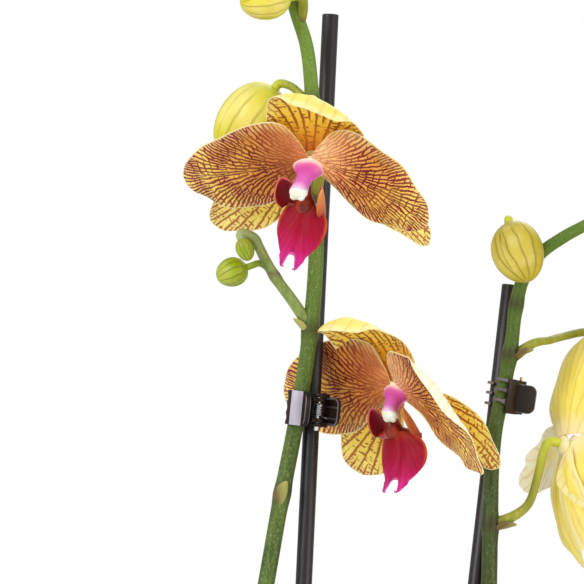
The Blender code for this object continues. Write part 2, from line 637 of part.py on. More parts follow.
def make_spike_1(look):
    seat_stalk = ((-4.8, .2, 463), (-3.4, -3.4, 469.5), behind(1, 8, (1, 1)), behind(1, 4), behind(1, 0))
    upper_stalk = bud_stalk(1, (-6.2, .2, 493), (-9.6, 2.4, 497), (-12.8, 4.4, 499.6), lead=1.2)
    branch = bud_stalk(3, (-7.5, 0, 424), (-12.4, -1.9, 431.2), (-17.6, -4, 438.4), (-20.4, -5.4, 443.2),
                       (-22.6, -6.8, 447.6), (-24.4, -8.2, 450.8), lead=1.9)
    side_stalk = bud_stalk(4, (-16.6, -3.6, 437.2), (-19.4, -3.0, 440.6), (-22.6, -2.7, 442.6), lead=1.4)
    pieces = [
        smooth_tube(SPIKE_1, ((0, 3.0), (.45, 2.7), (.6, 2.6), (.9, 2.2), (1, 1.3)), 36, 8),
        smooth_tube(seat_stalk, ((0, 1.9), (.5, 1.4), (1, 1.6)), 9, 6),
        smooth_tube(upper_stalk, ((0, 1.5), (.5, 1.3), (1, 1.5)), 9, 6),
        smooth_tube(bud_stalk(2, (-9.6, 0, 519), (-8.6, -2.4, 524.6)), ((0, 1.6), (1, 1.7)), 6, 6),
        smooth_tube(branch, ((0, 1.9), (.5, 1.7), (.8, 1.5), (1, 1.2)), 14, 6),
        smooth_tube(side_stalk, ((0, 1.05), (1, 1.1)), 7, 6),
        smooth_tube(bud_stalk(5, (-14.6, -1.9, 543.5), (-14.2, -2, 546.4)), ((0, 1.1), (1, 1.1)), 5, 6),
        smooth_tube(bud_stalk(6, (-16.8, -3.8, 551.2)), ((0, 1.3), (1, 1.0)), 4, 6),
        bract((-7.4, -.9, 420.0), -100, 44, 6.5, 6),
        bract((-15.8, -6.2, 364.6), 140, 66, 9, 9, 110),
        bract((-27.4, -21, 258), -120, 72, 13, 11, 110),
        bract((-12.4, -24.6, 168), 120, 66, 14, 12, 110),
    ]
    return place("spike_1", fused(pieces), look)


def make_spike_2(look):
    to_second = ((51.4, -3.8, 378.4), (48.0, -1.6, 382.6), (44.2, 4, 387.6), (38.6, 9.6, 393.4), (31.5, 11, 398.6),
                 behind(2, 5), behind(2, 0))
    to_third = ((51.6, -4.4, 359.4), (56.5, -4.6, 361), (62.4, -5, 364.8), (66.2, -4.6, 374.5), (68.4, -3.4, 383),
                behind(3, 3.4), behind(3, 0))
    to_fourth = ((59, 0, 413), (64.6, 1.6, 416.7), (70.6, 8.6, 417.9), (75.6, 18.6, 419), (83, 25.6, 420.4),
                 (93.4, 28.6, 420.6), behind(4, 5), behind(4, 0))
    over = bud_stalk(7, (63.4, .6, 441), (60.4, 1.6, 448), (57.4, .6, 455.6))
    pieces = [
        smooth_tube(SPIKE_2, ((0, 3.0), (.45, 2.7), (.58, 2.55), (.8, 2.1), (1, 1.1)), 40, 8),
        smooth_tube(to_second, ((0, 1.9), (.5, 1.4), (1, 1.6)), 11, 6),
        smooth_tube(to_third, ((0, 2.0), (.4, 1.35), (1, 1.6)), 13, 6),
        smooth_tube(to_fourth, ((0, 1.9), (.3, 1.4), (1, 1.6)), 12, 6),
        smooth_tube(over, ((0, 1.7), (1, 1.5)), 10, 6),
        smooth_tube(bud_stalk(8, (98, 2, 463.5), (101, 2.6, 467)), ((0, 1.5), (1, 1.3)), 5, 6),
        smooth_tube(bud_stalk(9, (124, 2, 464.8), (127, 1.8, 466.8)), ((0, 1.2), (1, 1.1)), 5, 6),
        bract((51.6, -5.6, 357.4), 86, 8, 8, 8),
        bract((58.9, -1.2, 412.6), 86, 16, 6.5, 7),
        bract((47.2, -14.9, 257), 124, 68, 13, 11, 110),
    ]
    return place("spike_2", fused(pieces), look)


# Clips. Each has a fixed half round the stake, a sprung half round the stem, a pin and a coil.
# In a clip's own frame the pin stands on the origin along Z, the jaws reach to -X, the levers to +X,
# the sprung half is on the -Y side.

ROD_CENTRE = (-6.2, 2.9)      # stake centre in the clip's frame; the stem is its mirror image
JAW_RADIUS = 4.15
JAW_WALL = 1.3
BAND = 1.15                   # height of one knuckle


def half_clip(side, knuckles, fingers):
    """One half of a clip; side is 1 for the fixed half and -1 for the sprung one."""
    x0, y0 = ROD_CENTRE
    h = CLIP_HALF_HEIGHT
    arc = []
    for step in range(7):
        angle = radians(40 + step * 23.33)
        arc.append((x0 + JAW_RADIUS * cos(angle), side * (y0 + JAW_RADIUS * sin(angle))))
    line = [(-1.15, side * 2.75)] + arc + [(x0 - JAW_RADIUS, side * 1.5)]
    pieces = [slab(line, JAW_WALL, -h, h)]
    lever = [(-1.6, side * 2.6), (1.4, side * 2.35), (5.2, side * 3.5), (5.8, side * 4.4), (5.2, side * 6.0),
             (-1.2, side * 4.9)]
    pieces.append(prism(lever, -h + 0.4, h - 0.4))
    for low in knuckles:
        pieces.append(rod((0, 0, low), (0, 0, low + BAND), 2.0, 12))
        web = [(-1.5, side * 0.6), (1.5, side * 0.6), (1.3, side * 2.9), (-1.3, side * 2.9)]
        pieces.append(prism(web, low, low + BAND))
    for low in fingers:
        x = x0 - JAW_RADIUS
        tooth = [(x - .65, side * 1.9), (x + .65, side * 1.9), (x + .5, side * -.9), (x - .2, side * -1.2),
                 (x - .55, side * -.9)]
        pieces.append(prism(tooth, low, low + 1.3))
    whole = fused(pieces)
    bores = [rod((0, 0, low - .1), (0, 0, low + BAND + .1), PIN_RADIUS + PIN_CLEARANCE, 12) for low in knuckles]
    pocket = [(0.9, side * 4.1), (4.3, side * 4.6), (3.9, side * 7), (0.5, side * 7)]
    return cut(whole, bores + [prism(pocket, -h + 1.6, h - 1.6)])


def make_clip(number, frame, looks):
    fixed = half_clip(1, (-5.35, 4.2), (-3.2, .35, 3.9))
    sprung = half_clip(-1, (-3.9, 2.75), (-5.0, -1.45, 2.1))
    pin = turned([(0, 7.2), (PIN_RADIUS, 7.2), (PIN_RADIUS, -6.3), (1.35, -6.3), (1.35, -7.2), (0, -7.2)], 12)
    hollow = rod((0, 0, -3), (0, 0, 3), PIN_RADIUS + PIN_CLEARANCE, 12)
    coil = cut(rod((0, 0, -2.4), (0, 0, 2.4), 1.9, 12), [hollow])
    for suffix, mesh, look in (("back", fixed, "clip"), ("jaw", sprung, "clip"), ("pin", pin, "pin"),
                               ("coil", coil, "coil")):
        thing = place(f"clip_{number}_{suffix}", mesh, looks[look])
        thing.matrix_world = frame


def clip_frame(stem, stake, lean):
    """Frame of a clip that holds a stem and a stake at these points, leaning that much in X."""
    between = Vector(stake) - Vector(stem)
    up = Vector((lean, 0, 1)).normalized()
    back = Vector((between.x, between.y, 0))
    back = (back - up * back.dot(up)).normalized()
    across = back.cross(up)
    turn = Matrix((across, back, up)).transposed().to_4x4()
    middle = (Vector(stem) + Vector(stake)) / 2
    return Matrix.Translation(middle * MM) @ turn @ Matrix.Translation(Vector((-ROD_CENTRE[0], 0, 0)) * MM)


def main():
    start_empty()
    green = material("stem_green", (.14, .26, .07), .5)
    looks = {
        "petal": material("petal_gold", (.78, .42, .12), .55),
        "lip": material("lip_crimson", (.50, .04, .14), .45),
        "column": material("column_pink", (.66, .20, .40), .45),
        "clip": material("clip_black", (.02, .018, .018), .35),
        "pin": material("pin_brass", (.60, .45, .22), .3, 1.0),
        "coil": material("spring_steel", (.62, .62, .64), .25, 1.0),
    }
    make_pot(material("pot_plastic", (.36, .12, .06), .5))
    make_bark(material("bark_brown", (.15, .07, .03), .9), (STAKE_1, STAKE_2))
    place("crown", crown_shape(), green)
    make_roots(material("root_grey_green", (.42, .46, .32), .7))
    make_leaves(material("leaf_green", (.05, .15, .03), .4))
    stake = material("stake_black", (.03, .025, .03), .5)
    make_stake("stake_1", STAKE_1, stake)
    make_stake("stake_2", STAKE_2, stake)
    make_spike_1(green)
    make_spike_2(green)
    for number in BLOOMS:
        make_bloom(number, looks)
    make_buds(material("bud_yellow_green", (.55, .55, .08), .45))
    make_clip(1, clip_frame((-10.1, -1.0, 396.2), (-5.75, 2.84, 396.2), .1), looks)
    make_clip(2, clip_frame((55.2, 0, 400.5), (53.9, 5.65, 400.5), .15), looks)


main()
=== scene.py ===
import random
from math import cos, pi, radians, sin, sqrt

import bpy
import numpy as np
from mathutils import Matrix, Vector, noise


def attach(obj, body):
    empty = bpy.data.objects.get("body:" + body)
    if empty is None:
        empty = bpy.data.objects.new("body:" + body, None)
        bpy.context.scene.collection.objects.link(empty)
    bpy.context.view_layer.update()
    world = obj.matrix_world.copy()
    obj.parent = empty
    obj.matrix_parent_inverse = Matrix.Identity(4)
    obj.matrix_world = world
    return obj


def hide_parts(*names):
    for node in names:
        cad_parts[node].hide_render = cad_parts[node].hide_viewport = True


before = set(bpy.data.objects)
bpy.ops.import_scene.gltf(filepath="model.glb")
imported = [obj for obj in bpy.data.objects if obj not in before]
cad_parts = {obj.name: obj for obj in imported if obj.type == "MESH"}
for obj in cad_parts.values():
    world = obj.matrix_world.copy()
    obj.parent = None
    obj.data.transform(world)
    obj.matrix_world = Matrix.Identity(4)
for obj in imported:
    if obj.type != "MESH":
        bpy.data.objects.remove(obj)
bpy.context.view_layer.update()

MM = .001

# Camera and light

CAMERA_AT = (-12.16, -1500.0, 433.44)
SENSOR = 36.0
VIEW_WIDTH = 186.88           # width of the view at the plant's middle plane
AMBIENT = .66                 # light from all round, against the white that the camera sees


def make_stage():
    bpy.ops.object.camera_add(location=Vector(CAMERA_AT) * MM, rotation=(pi / 2, 0, 0))
    camera = bpy.context.active_object
    camera.data.sensor_width = SENSOR
    camera.data.lens = SENSOR * -CAMERA_AT[1] / VIEW_WIDTH
    camera.data.clip_start = .05
    bpy.context.scene.camera = camera
    bpy.context.scene.view_settings.view_transform = "Standard"

    world = bpy.data.worlds.new("studio")
    bpy.context.scene.world = world
    world.use_nodes = True
    tree = world.node_tree
    seen = add(tree, "LightPath", {}, "Is Camera Ray")
    strength = add(tree, "MapRange", {"Value": seen, "To Min": AMBIENT, "To Max": 1.0})
    tree.nodes["Background"].inputs["Color"].default_value = (1, 1, 1, 1)
    tree.links.new(strength, tree.nodes["Background"].inputs["Strength"])
    for name, place, aim, size, power in (
            ("key", (-950, -900, 1150), (0, 0, 430), .7, 12),
            ("side", (1100, -800, 650), (0, 0, 430), .8, 6.5),
            ("back", (300, 1100, 1300), (0, 0, 430), .9, 6)):
        bpy.ops.object.light_add(type="AREA", location=Vector(place) * MM)
        light = bpy.context.active_object
        light.name = name
        light.data.size = size
        light.data.energy = power
        light.rotation_euler = (Vector(aim) - Vector(place)).to_track_quat("-Z", "Y").to_euler()

    bpy.ops.mesh.primitive_plane_add(size=9)
    floor = bpy.context.active_object
    floor.name = "floor"
    look, tree, shader = new_look("matt_white_floor", Roughness=.9)
    shader.inputs["Base Color"].default_value = linear("#F4F3F1")
    floor.data.materials.append(look)


# Materials

def linear(code):
    """Linear colour of an sRGB hex value."""
    parts = [int(code[i:i + 2], 16) / 255 for i in (1, 3, 5)]
    return tuple(c / 12.92 if c <= .04045 else ((c + .055) / 1.055) ** 2.4 for c in parts) + (1.0,)


def new_look(name, **constants):
    """A material whose constant values sit on its shader."""
    look = bpy.data.materials.new(name)
    look.use_nodes = True
    shader = look.node_tree.nodes["Principled BSDF"]
    for key, value in constants.items():
        shader.inputs[key.replace("_", " ")].default_value = value
    return look, look.node_tree, shader


def add(tree, kind, inputs, out=0, stops=(), **settings):
    """Adds a node: inputs gives each socket a value or the output that feeds it."""
    made = tree.nodes.new("ShaderNode" + kind)
    for name, value in settings.items():
        setattr(made, name, value)
    for key, value in inputs.items():
        if isinstance(value, bpy.types.NodeSocket):
            tree.links.new(value, made.inputs[key])
        else:
            made.inputs[key].default_value = value
    for number, (at, colour) in enumerate(stops):
        ramp = made.color_ramp.elements
        point = ramp[number] if number < 2 else ramp.new(at)
        point.position = at
        point.color = linear(colour)
    return made.outputs[out]


A, B = 6, 7                   # the two colour sockets of a Mix node
COLOUR = 2                    # and its colour output


def grain(tree, scale, detail=2.0, stretch=(1, 1, 1), rough=.5):
    """Noise on the object's own coordinates, with features about 1 / scale metres across."""
    place = add(tree, "TexCoord", {}, "Object")
    place = add(tree, "Mapping", {"Vector": place, "Scale": stretch})
    return add(tree, "TexNoise", {"Vector": place, "Scale": scale, "Detail": detail, "Roughness": rough})


def relief(tree, shader, height, depth, strength=1.0):
    """Bump of that depth in millimetres from a 0 to 1 height."""
    bump = add(tree, "Bump", {"Height": height, "Strength": strength, "Distance": depth * MM})
    tree.links.new(bump, shader.inputs["Normal"])


def plus(tree, first, second, operation="ADD"):
    return add(tree, "Math", {0: first, 1: second}, operation=operation)


def ramped(tree, value, low, high, start=0.0, end=1.0):
    """Smooth step of a value from start to end between low and high."""
    return add(tree, "MapRange", {"Value": value, "From Min": low, "From Max": high, "To Min": start, "To Max": end},
               interpolation_type="SMOOTHSTEP")


def mixed(tree, share, first, second):
    """Colour between two; a text is an sRGB hex value."""
    first, second = (linear(c) if isinstance(c, str) else c for c in (first, second))
    return add(tree, "Mix", {0: share, A: first, B: second}, COLOUR, data_type="RGBA")


def fan(tree, waver=3.2, sway=.9):
    """The vein coordinates of a blade: the ray that a point lies on, the millimetres to a unit of rays there,
    the distances from the margin and from the root, and noise of three sorts. Rays and distances
    waver by about sway mm over waver mm."""
    flat = add(tree, "UVMap", {}, uv_map="fan")
    size = add(tree, "UVMap", {}, uv_map="size")
    spread = add(tree, "SeparateXYZ", {0: size}, 0)
    margin = add(tree, "SeparateXYZ", {0: size}, 1)
    place = add(tree, "TexCoord", {}, "Object")
    cloud = add(tree, "TexNoise", {"Vector": place, "Scale": 1000 / waver, "Detail": 3.0}, "Color")
    shift = add(tree, "VectorMath", {0: cloud, 1: (2 * sway,) * 3, 2: (-sway,) * 3}, operation="MULTIPLY_ADD")
    ray = plus(tree, add(tree, "SeparateXYZ", {0: flat}, 0),
               plus(tree, add(tree, "SeparateXYZ", {0: shift}, 0), spread, "DIVIDE"))
    along = plus(tree, add(tree, "SeparateXYZ", {0: flat}, 1), add(tree, "SeparateXYZ", {0: shift}, 1))
    return ray, spread, margin, along


def veins(tree, ray, spread, counts, least, width):
    """Mask of veins width mm wide that fork as they spread: each set has so many to a unit of rays, and
    starts where its veins are least mm apart."""
    mask = None
    for count in counts:
        apart = plus(tree, spread, 1 / count, "MULTIPLY")
        here = ramped(tree, apart, least, least * 1.35)
        near = plus(tree, plus(tree, ray, count, "MULTIPLY"), .5, "PINGPONG")
        away = plus(tree, near, apart, "MULTIPLY")
        away = add(tree, "Math", {0: plus(tree, 1.0, here, "SUBTRACT"), 1: width * .75, 2: away},
                   operation="MULTIPLY_ADD")
        line = ramped(tree, away, width * .3, width * .72, 1.0, 0.0)
        mask = line if mask is None else plus(tree, mask, line, "MAXIMUM")
    return mask


def rungs(tree, along, step, width, share):
    """Mask of short cross veins step mm apart, width mm wide, over that share of the blade."""
    near = plus(tree, plus(tree, plus(tree, grain(tree, 260, 1), 3.2, "MULTIPLY"), along), 1 / step, "MULTIPLY")
    near = plus(tree, near, .5, "PINGPONG")
    line = ramped(tree, plus(tree, near, step, "MULTIPLY"), width * .3, width * .72, 1.0, 0.0)
    place = add(tree, "TexCoord", {}, "Object")
    cloud = add(tree, "TexNoise", {"Vector": place, "Scale": 620.0, "Detail": 1.0})
    return plus(tree, line, ramped(tree, cloud, .64 - .3 * share, .68 - .3 * share), "MULTIPLY")


def petal_face(name, root, flush, blush):
    """Upper face of a petal: thin waxy skin that glows a little, gold with a net of wine-red veins, and
    flushed near its root. Its darker copy is painted shade and its lighter copy painted light."""
    look, tree, shader = new_look(name, Roughness=.5, Subsurface_Weight=.15, Subsurface_Scale=.0008,
                                  Subsurface_Radius=(1, .55, .3), Specular_IOR_Level=.25)
    ray, spread, margin, along = fan(tree)
    mask = plus(tree, veins(tree, ray, spread, (.5, 1, 2, 4, 8, 16), .74, .66),
                rungs(tree, along, 2.2, .55, .62), "MAXIMUM")
    patch = grain(tree, 150, 2)
    reach = plus(tree, along, 1 / 42, "MULTIPLY")
    inner = ramped(tree, reach, .05, .34, .5, 1.0)
    mask = plus(tree, plus(tree, mask, ramped(tree, patch, .3, .6, .8, 1.0), "MULTIPLY"), inner, "MULTIPLY")
    ground = add(tree, "ValToRGB", {"Fac": reach}, stops=(
        (.04, root), (1.0, "#FAE078"), (.16, flush), (.42, "#DA9438"), (.66, "#EAB44A"), (.84, "#F8D860")))
    warm = mixed(tree, ramped(tree, patch, .42, .66, 0.0, .5), ground, blush)
    pale = ramped(tree, margin, .6, 4.5, .55, 0.0)
    ground = mixed(tree, pale, warm, "#F6DC80")
    vein = add(tree, "ValToRGB", {"Fac": reach}, stops=((.1, "#9E3A20"), (1.0, "#86182A"), (.4, "#6E160A")))
    vein = mixed(tree, ramped(tree, margin, .4, 4.5, .6, 0.0), vein, "#922040")
    colour = mixed(tree, mask, ground, vein)
    colour = mixed(tree, ramped(tree, margin, .2, .55, .9, 0.0), colour, "#F2E2A6")
    tree.links.new(colour, shader.inputs["Base Color"])
    relief(tree, shader, mask, .10, .4)
    return look


def sepal_face():
    """Upper face of a sepal: brighter yellow, with a few strong veins and broken cross dashes."""
    look, tree, shader = new_look("waxy_sepal_face", Roughness=.48, Subsurface_Weight=.15, Subsurface_Scale=.0008,
                                  Subsurface_Radius=(1, .55, .3), Specular_IOR_Level=.25)
    ray, spread, margin, along = fan(tree, 2.6, .7)
    main = veins(tree, ray, spread, (1, 2, 4, 8, 16), 1.75, .8)
    dashes = rungs(tree, along, 1.7, .75, .42)
    near = ramped(tree, margin, 1.5, 5.0, 1.0, 0.0)
    fine = plus(tree, veins(tree, ray, spread, (4, 8, 16, 32), .95, .42), near, "MULTIPLY")
    mask = plus(tree, plus(tree, main, dashes, "MAXIMUM"), fine, "MAXIMUM")
    reach = plus(tree, along, 1 / 42, "MULTIPLY")
    mask = plus(tree, mask, ramped(tree, reach, .08, .4, .5, .86), "MULTIPLY")
    ground = add(tree, "ValToRGB", {"Fac": reach}, stops=(
        (.04, "#F29A4C"), (1.0, "#FFEC84"), (.16, "#FAB038"), (.36, "#FFD240"), (.7, "#FFE462")))
    ground = mixed(tree, ramped(tree, margin, .6, 5.0, .4, 0.0), ground, "#FCEA90")
    vein = add(tree, "ValToRGB", {"Fac": reach}, stops=((.08, "#A03C14"), (1.0, "#A8382C"), (.35, "#8A200E"), (.6, "#9C3018")))
    colour = mixed(tree, mask, ground, vein)
    colour = mixed(tree, ramped(tree, margin, .2, .55, .9, 0.0), colour, "#F2E6A0")
    tree.links.new(colour, shader.inputs["Base Color"])
    relief(tree, shader, mask, .10, .4)
    return look


def blade_back(name, margin_tone, reach_in):
    """Outer face of sepals and petals: pale yellow, with the veins only faintly through it, and creamy for
    some millimetres at its margin."""
    look, tree, shader = new_look(name, Roughness=.55, Subsurface_Weight=.2, Subsurface_Scale=.0012,
                                  Subsurface_Radius=(1, .8, .4), Specular_IOR_Level=.3)
    ray, spread, margin, along = fan(tree, 4.0, 1.0)
    lines = veins(tree, ray, spread, (1, 2, 4, 8), 2.2, .9)
    reach = plus(tree, along, 1 / 42, "MULTIPLY")
    ground = add(tree, "ValToRGB", {"Fac": reach}, stops=(
        (.05, "#F4E2A6"), (1.0, "#F2DE7C"), (.2, "#FCE454"), (.55, "#FEE65C"), (.8, "#FAE468")))
    ground = mixed(tree, ramped(tree, grain(tree, 90, 3), .35, .7, 0.0, .35), ground, "#F8EAA6")
    ground = mixed(tree, ramped(tree, margin, .3 * reach_in, reach_in, .9, 0.0), ground, margin_tone)
    colour = mixed(tree, plus(tree, lines, .26, "MULTIPLY"), ground, "#DCA04C")
    tree.links.new(colour, shader.inputs["Base Color"])
    relief(tree, shader, lines, -.15, .5)
    return look


def blade_rim():
    """Cut edge of a blade: thin cream skin that the light comes through."""
    look, tree, shader = new_look("cream_petal_rim", Roughness=.5, Subsurface_Weight=.3, Subsurface_Scale=.001)
    tone = add(tree, "ValToRGB", {"Fac": grain(tree, 300)}, stops=((.3, "#EBDA94"), (.7, "#F4E8BC")))
    tree.links.new(tone, shader.inputs["Base Color"])
    return look


def lip_face():
    """Middle lobe of the lip: satin crimson that turns magenta towards its tip, with amber shoulders."""
    look, tree, shader = new_look("satin_lip_lobe", Roughness=.5, Subsurface_Weight=.05, Subsurface_Scale=.0006,
                                  Subsurface_Radius=(1, .3, .3), Specular_IOR_Level=.12)
    ray, spread, margin, along = fan(tree, 3.0, .3)
    reach = plus(tree, along, 1 / 21, "MULTIPLY")
    body = add(tree, "ValToRGB", {"Fac": reach}, stops=(
        (.0, "#A03410"), (1.0, "#D02E9E"), (.16, "#920C1E"), (.45, "#A40C32"), (.7, "#BE185C"), (.88, "#D42A8C")))
    lines = veins(tree, ray, spread, (2, 4, 8, 16), 1.3, .7)
    body = mixed(tree, plus(tree, lines, .2, "MULTIPLY"), body, "#720A22")
    body = mixed(tree, ramped(tree, grain(tree, 190, 2), .45, .7, 0.0, .4), body, "#8A0E34")
    edge = ramped(tree, margin, .2, 1.3, .9, 0.0)
    edge = plus(tree, edge, ramped(tree, reach, .3, .62, .85, 0.0), "MULTIPLY")
    colour = mixed(tree, edge, body, "#C85A20")
    tree.links.new(colour, shader.inputs["Base Color"])
    relief(tree, shader, lines, -.12, .5)
    return look


def lip_edge():
    """Thin edge and back of the lip: amber that turns magenta towards the tip."""
    look, tree, shader = new_look("amber_lip_edge", Roughness=.42, Subsurface_Weight=.2, Subsurface_Scale=.001)
    reach = plus(tree, add(tree, "SeparateXYZ", {0: add(tree, "UVMap", {}, uv_map="fan")}, 1), 1 / 21, "MULTIPLY")
    tone = add(tree, "ValToRGB", {"Fac": plus(tree, reach, plus(tree, grain(tree, 140), .12, "MULTIPLY"))}, stops=(
        (.1, "#C8702C"), (1.0, "#D86AB8"), (.5, "#CC6040"), (.75, "#BE3070")))
    tree.links.new(tone, shader.inputs["Base Color"])
    return look


def ear_face():
    """Inside of the lip's side lobes: velvety maroon that lightens to a cream rim."""
    look, tree, shader = new_look("velvet_lip_ear", Roughness=.36, Subsurface_Weight=.06, Subsurface_Scale=.0008,
                                  Specular_IOR_Level=.25)
    ray, spread, margin, along = fan(tree, 3.0, .3)
    tone = add(tree, "ValToRGB", {"Fac": plus(tree, margin, .2, "MULTIPLY")}, stops=(
        (.0, "#E0A070"), (1.0, "#680A12"), (.03, "#B44A2A"), (.1, "#861420")))
    tree.links.new(tone, shader.inputs["Base Color"])
    relief(tree, shader, grain(tree, 900), .05, .4)
    return look


def ear_back():
    """Outside of the side lobes: amber."""
    look, tree, shader = new_look("amber_lip_ear_back", Roughness=.42, Subsurface_Weight=.15, Subsurface_Scale=.001)
    ray, spread, margin, along = fan(tree, 3.0, .3)
    tone = add(tree, "ValToRGB", {"Fac": plus(tree, along, .08, "MULTIPLY")}, stops=(
        (.1, "#9A2A34"), (1.0, "#DC9A4A"), (.5, "#CC6A30")))
    tree.links.new(tone, shader.inputs["Base Color"])
    return look


def throat():
    """Callus in the lip's throat: glossy red to amber flesh."""
    look, tree, shader = new_look("glossy_callus", Roughness=.32, Subsurface_Weight=.05, Subsurface_Scale=.001,
                                  Specular_IOR_Level=.35)
    tone = add(tree, "ValToRGB", {"Fac": grain(tree, 420, 2)}, stops=((.35, "#640C0C"), (.65, "#A6360E")))
    tree.links.new(tone, shader.inputs["Base Color"])
    return look


def column_skin():
    """The column: soft orchid pink, paler towards its tip, finely lined."""
    look, tree, shader = new_look("satin_column", Roughness=.4, Subsurface_Weight=.2, Subsurface_Scale=.0015,
                                  Subsurface_Radius=(1, .5, .6))
    along = add(tree, "SeparateXYZ", {0: add(tree, "UVMap", {}, uv_map="fan")}, 1)
    tone = add(tree, "ValToRGB", {"Fac": along}, stops=(
        (.0, "#FFF4DC"), (1.0, "#F2BCE6"), (.08, "#FBE2CC"), (.17, "#DC66A4"), (.34, "#D452B4"), (.82, "#DE70CE")))
    tree.links.new(tone, shader.inputs["Base Color"])
    relief(tree, shader, grain(tree, 500, 2, (1, 1, .3)), .06, .4)
    return look


def anther_skin():
    """The cap on the column's tip: ivory with a soft yellow blush."""
    look, tree, shader = new_look("ivory_cap", Roughness=.4, Subsurface_Weight=.3, Subsurface_Scale=.0015)
    tone = add(tree, "ValToRGB", {"Fac": grain(tree, 260, 1)}, stops=((.35, "#F3E6C8"), (.65, "#FAF6EE")))
    tree.links.new(tone, shader.inputs["Base Color"])
    return look


def bud_skin(name, painted_light_tone, painted_shade_tone, crown, blush, furrow, furrows=12.0):
    """Closed bud: firm satin skin with soft furrows from base to tip, and broad patches of paler painted light and
    deeper painted shade.
    """
    look, tree, shader = new_look(name, Roughness=.4, Subsurface_Weight=.12, Subsurface_Scale=.0012,
                                  Subsurface_Radius=(1, .8, .3))
    uv = add(tree, "UVMap", {}, uv_map="fan")
    stir = add(tree, "TexNoise", {"Vector": uv, "Scale": 2.2, "Detail": 2.0}, noise_dimensions="2D")
    around = plus(tree, add(tree, "SeparateXYZ", {0: uv}, 0), plus(tree, stir, .05, "MULTIPLY"))
    along = add(tree, "SeparateXYZ", {0: uv}, 1)
    near = plus(tree, plus(tree, around, furrows, "MULTIPLY"), .5, "PINGPONG")
    line = ramped(tree, near, .0, .15, 1.0, 0.0)
    line = plus(tree, line, ramped(tree, along, .06, .3), "MULTIPLY")
    # Painted light and shade: the paler tone and the deeper one lie in broad soft patches.
    ground = mixed(tree, ramped(tree, grain(tree, 46, 2), .4, .62), painted_light_tone, painted_shade_tone)
    ground = mixed(tree, ramped(tree, along, 0.0, .3, .85, 0.0), ground, crown)
    tint = ramped(tree, grain(tree, 130, 3), .52, .72, 0.0, .55)
    ground = mixed(tree, tint, ground, blush)
    colour = mixed(tree, plus(tree, line, .55, "MULTIPLY"), ground, furrow)
    tree.links.new(colour, shader.inputs["Base Color"])
    relief(tree, shader, line, -.3, .7)
    return look


def stem_skin(name, pale, deep, blush, far, streak=.3):
    """Spike or stalk: smooth waxy skin with long darker streaks, fine pale dots, and brown at its nodes. Its
    colour changes to far towards its end."""
    look, tree, shader = new_look(name, Roughness=.48, Subsurface_Weight=.05, Subsurface_Scale=.0008,
                                  Specular_IOR_Level=.28)
    marks = add(tree, "UVMap", {}, uv_map="fan")
    node = add(tree, "SeparateXYZ", {0: marks}, 0)
    along = add(tree, "SeparateXYZ", {0: marks}, 1)
    streaks = grain(tree, 420, 3, (1, 1, .09))
    ground = add(tree, "ValToRGB", {"Fac": streaks}, stops=((.3, deep), (.72, pale)))
    ground = mixed(tree, ramped(tree, along, .55, 1.0), ground, far)
    dots = ramped(tree, grain(tree, 1700, 1, (1, 1, .7)), .5, .74, 0.0, streak)
    ground = mixed(tree, dots, ground, "#A9BC8C")
    spots = ramped(tree, grain(tree, 30, 2), .6, .8, 0.0, .3)
    colour = mixed(tree, plus(tree, spots, node, "MAXIMUM"), ground, blush)
    tree.links.new(colour, shader.inputs["Base Color"])
    relief(tree, shader, streaks, .10, .5)
    return look


def stake_plastic():
    """Stakes: extruded near-black plastic, satin, with fine lengthwise die lines."""
    look, tree, shader = new_look("extruded_black_plastic", Roughness=.42, IOR=1.49)
    lines = grain(tree, 1400, 2, (1, 1, .01))
    tone = add(tree, "ValToRGB", {"Fac": lines}, stops=((.35, "#0C0708"), (.7, "#1E1719")))
    tree.links.new(tone, shader.inputs["Base Color"])
    relief(tree, shader, lines, .08, .6)
    return look


def clip_plastic(name, deep, pale, rough):
    """Clips: moulded plastic, glossy, faintly frosted by the mould. Its lilac-grey copy is a painted reflection and
    its grey copy a painted glint.
    """
    look, tree, shader = new_look(name, IOR=1.5, Specular_IOR_Level=.3)
    fine = grain(tree, 2600, 2)
    tone = add(tree, "ValToRGB", {"Fac": grain(tree, 220, 2)}, stops=((.3, deep), (.7, pale)))
    tree.links.new(tone, shader.inputs["Base Color"])
    frosted = add(tree, "MapRange", {"Value": fine, "To Min": rough, "To Max": rough * 1.7})
    tree.links.new(frosted, shader.inputs["Roughness"])
    relief(tree, shader, fine, .02, .5)
    return look


def drawn_metal(name, colour, rough):
    """Drawn wire: bright metal with faint lengthwise scratches."""
    look, tree, shader = new_look(name, Metallic=1.0)
    lines = grain(tree, 1800, 2, (1, 1, .2))
    tree.links.new(add(tree, "MapRange", {"Value": lines, "To Min": rough * .7, "To Max": rough * 1.4}),
                   shader.inputs["Roughness"])
    shader.inputs["Base Color"].default_value = linear(colour)
    return look


def leaf_skin(name, deep, pale, rough):
    """Leaf: thick leathery skin with a waxy shine, long parallel veins and slight mottling."""
    look, tree, shader = new_look(name, Roughness=rough, Coat_Weight=.12, Coat_Roughness=.25,
                                  Subsurface_Weight=.05, Subsurface_Scale=.001)
    ray, spread, margin, along = fan(tree, 8.0, .4)
    lines = veins(tree, ray, spread, (16, 32, 64), 1.1, .5)
    mottle = grain(tree, 60, 4)
    ground = add(tree, "ValToRGB", {"Fac": mottle}, stops=((.3, deep), (.75, pale)))
    colour = add(tree, "Mix", {0: add(tree, "Math", {0: lines, 1: .25}, operation="MULTIPLY"), A: ground,
                               B: linear("#55793A")}, COLOUR, data_type="RGBA")
    tree.links.new(colour, shader.inputs["Base Color"])
    relief(tree, shader, lines, .12, .35)
    return look


def root_skin():
    """Aerial root: dry silvery velamen over green, papery and slightly ribbed."""
    look, tree, shader = new_look("papery_root_skin", Roughness=.75)
    patches = grain(tree, 70, 4)
    tone = add(tree, "ValToRGB", {"Fac": patches}, stops=((.3, "#7F8B5C"), (.7, "#BDBFA6"), (.5, "#A5AB88")))
    tree.links.new(tone, shader.inputs["Base Color"])
    relief(tree, shader, grain(tree, 600, 3), .2, .6)
    return look


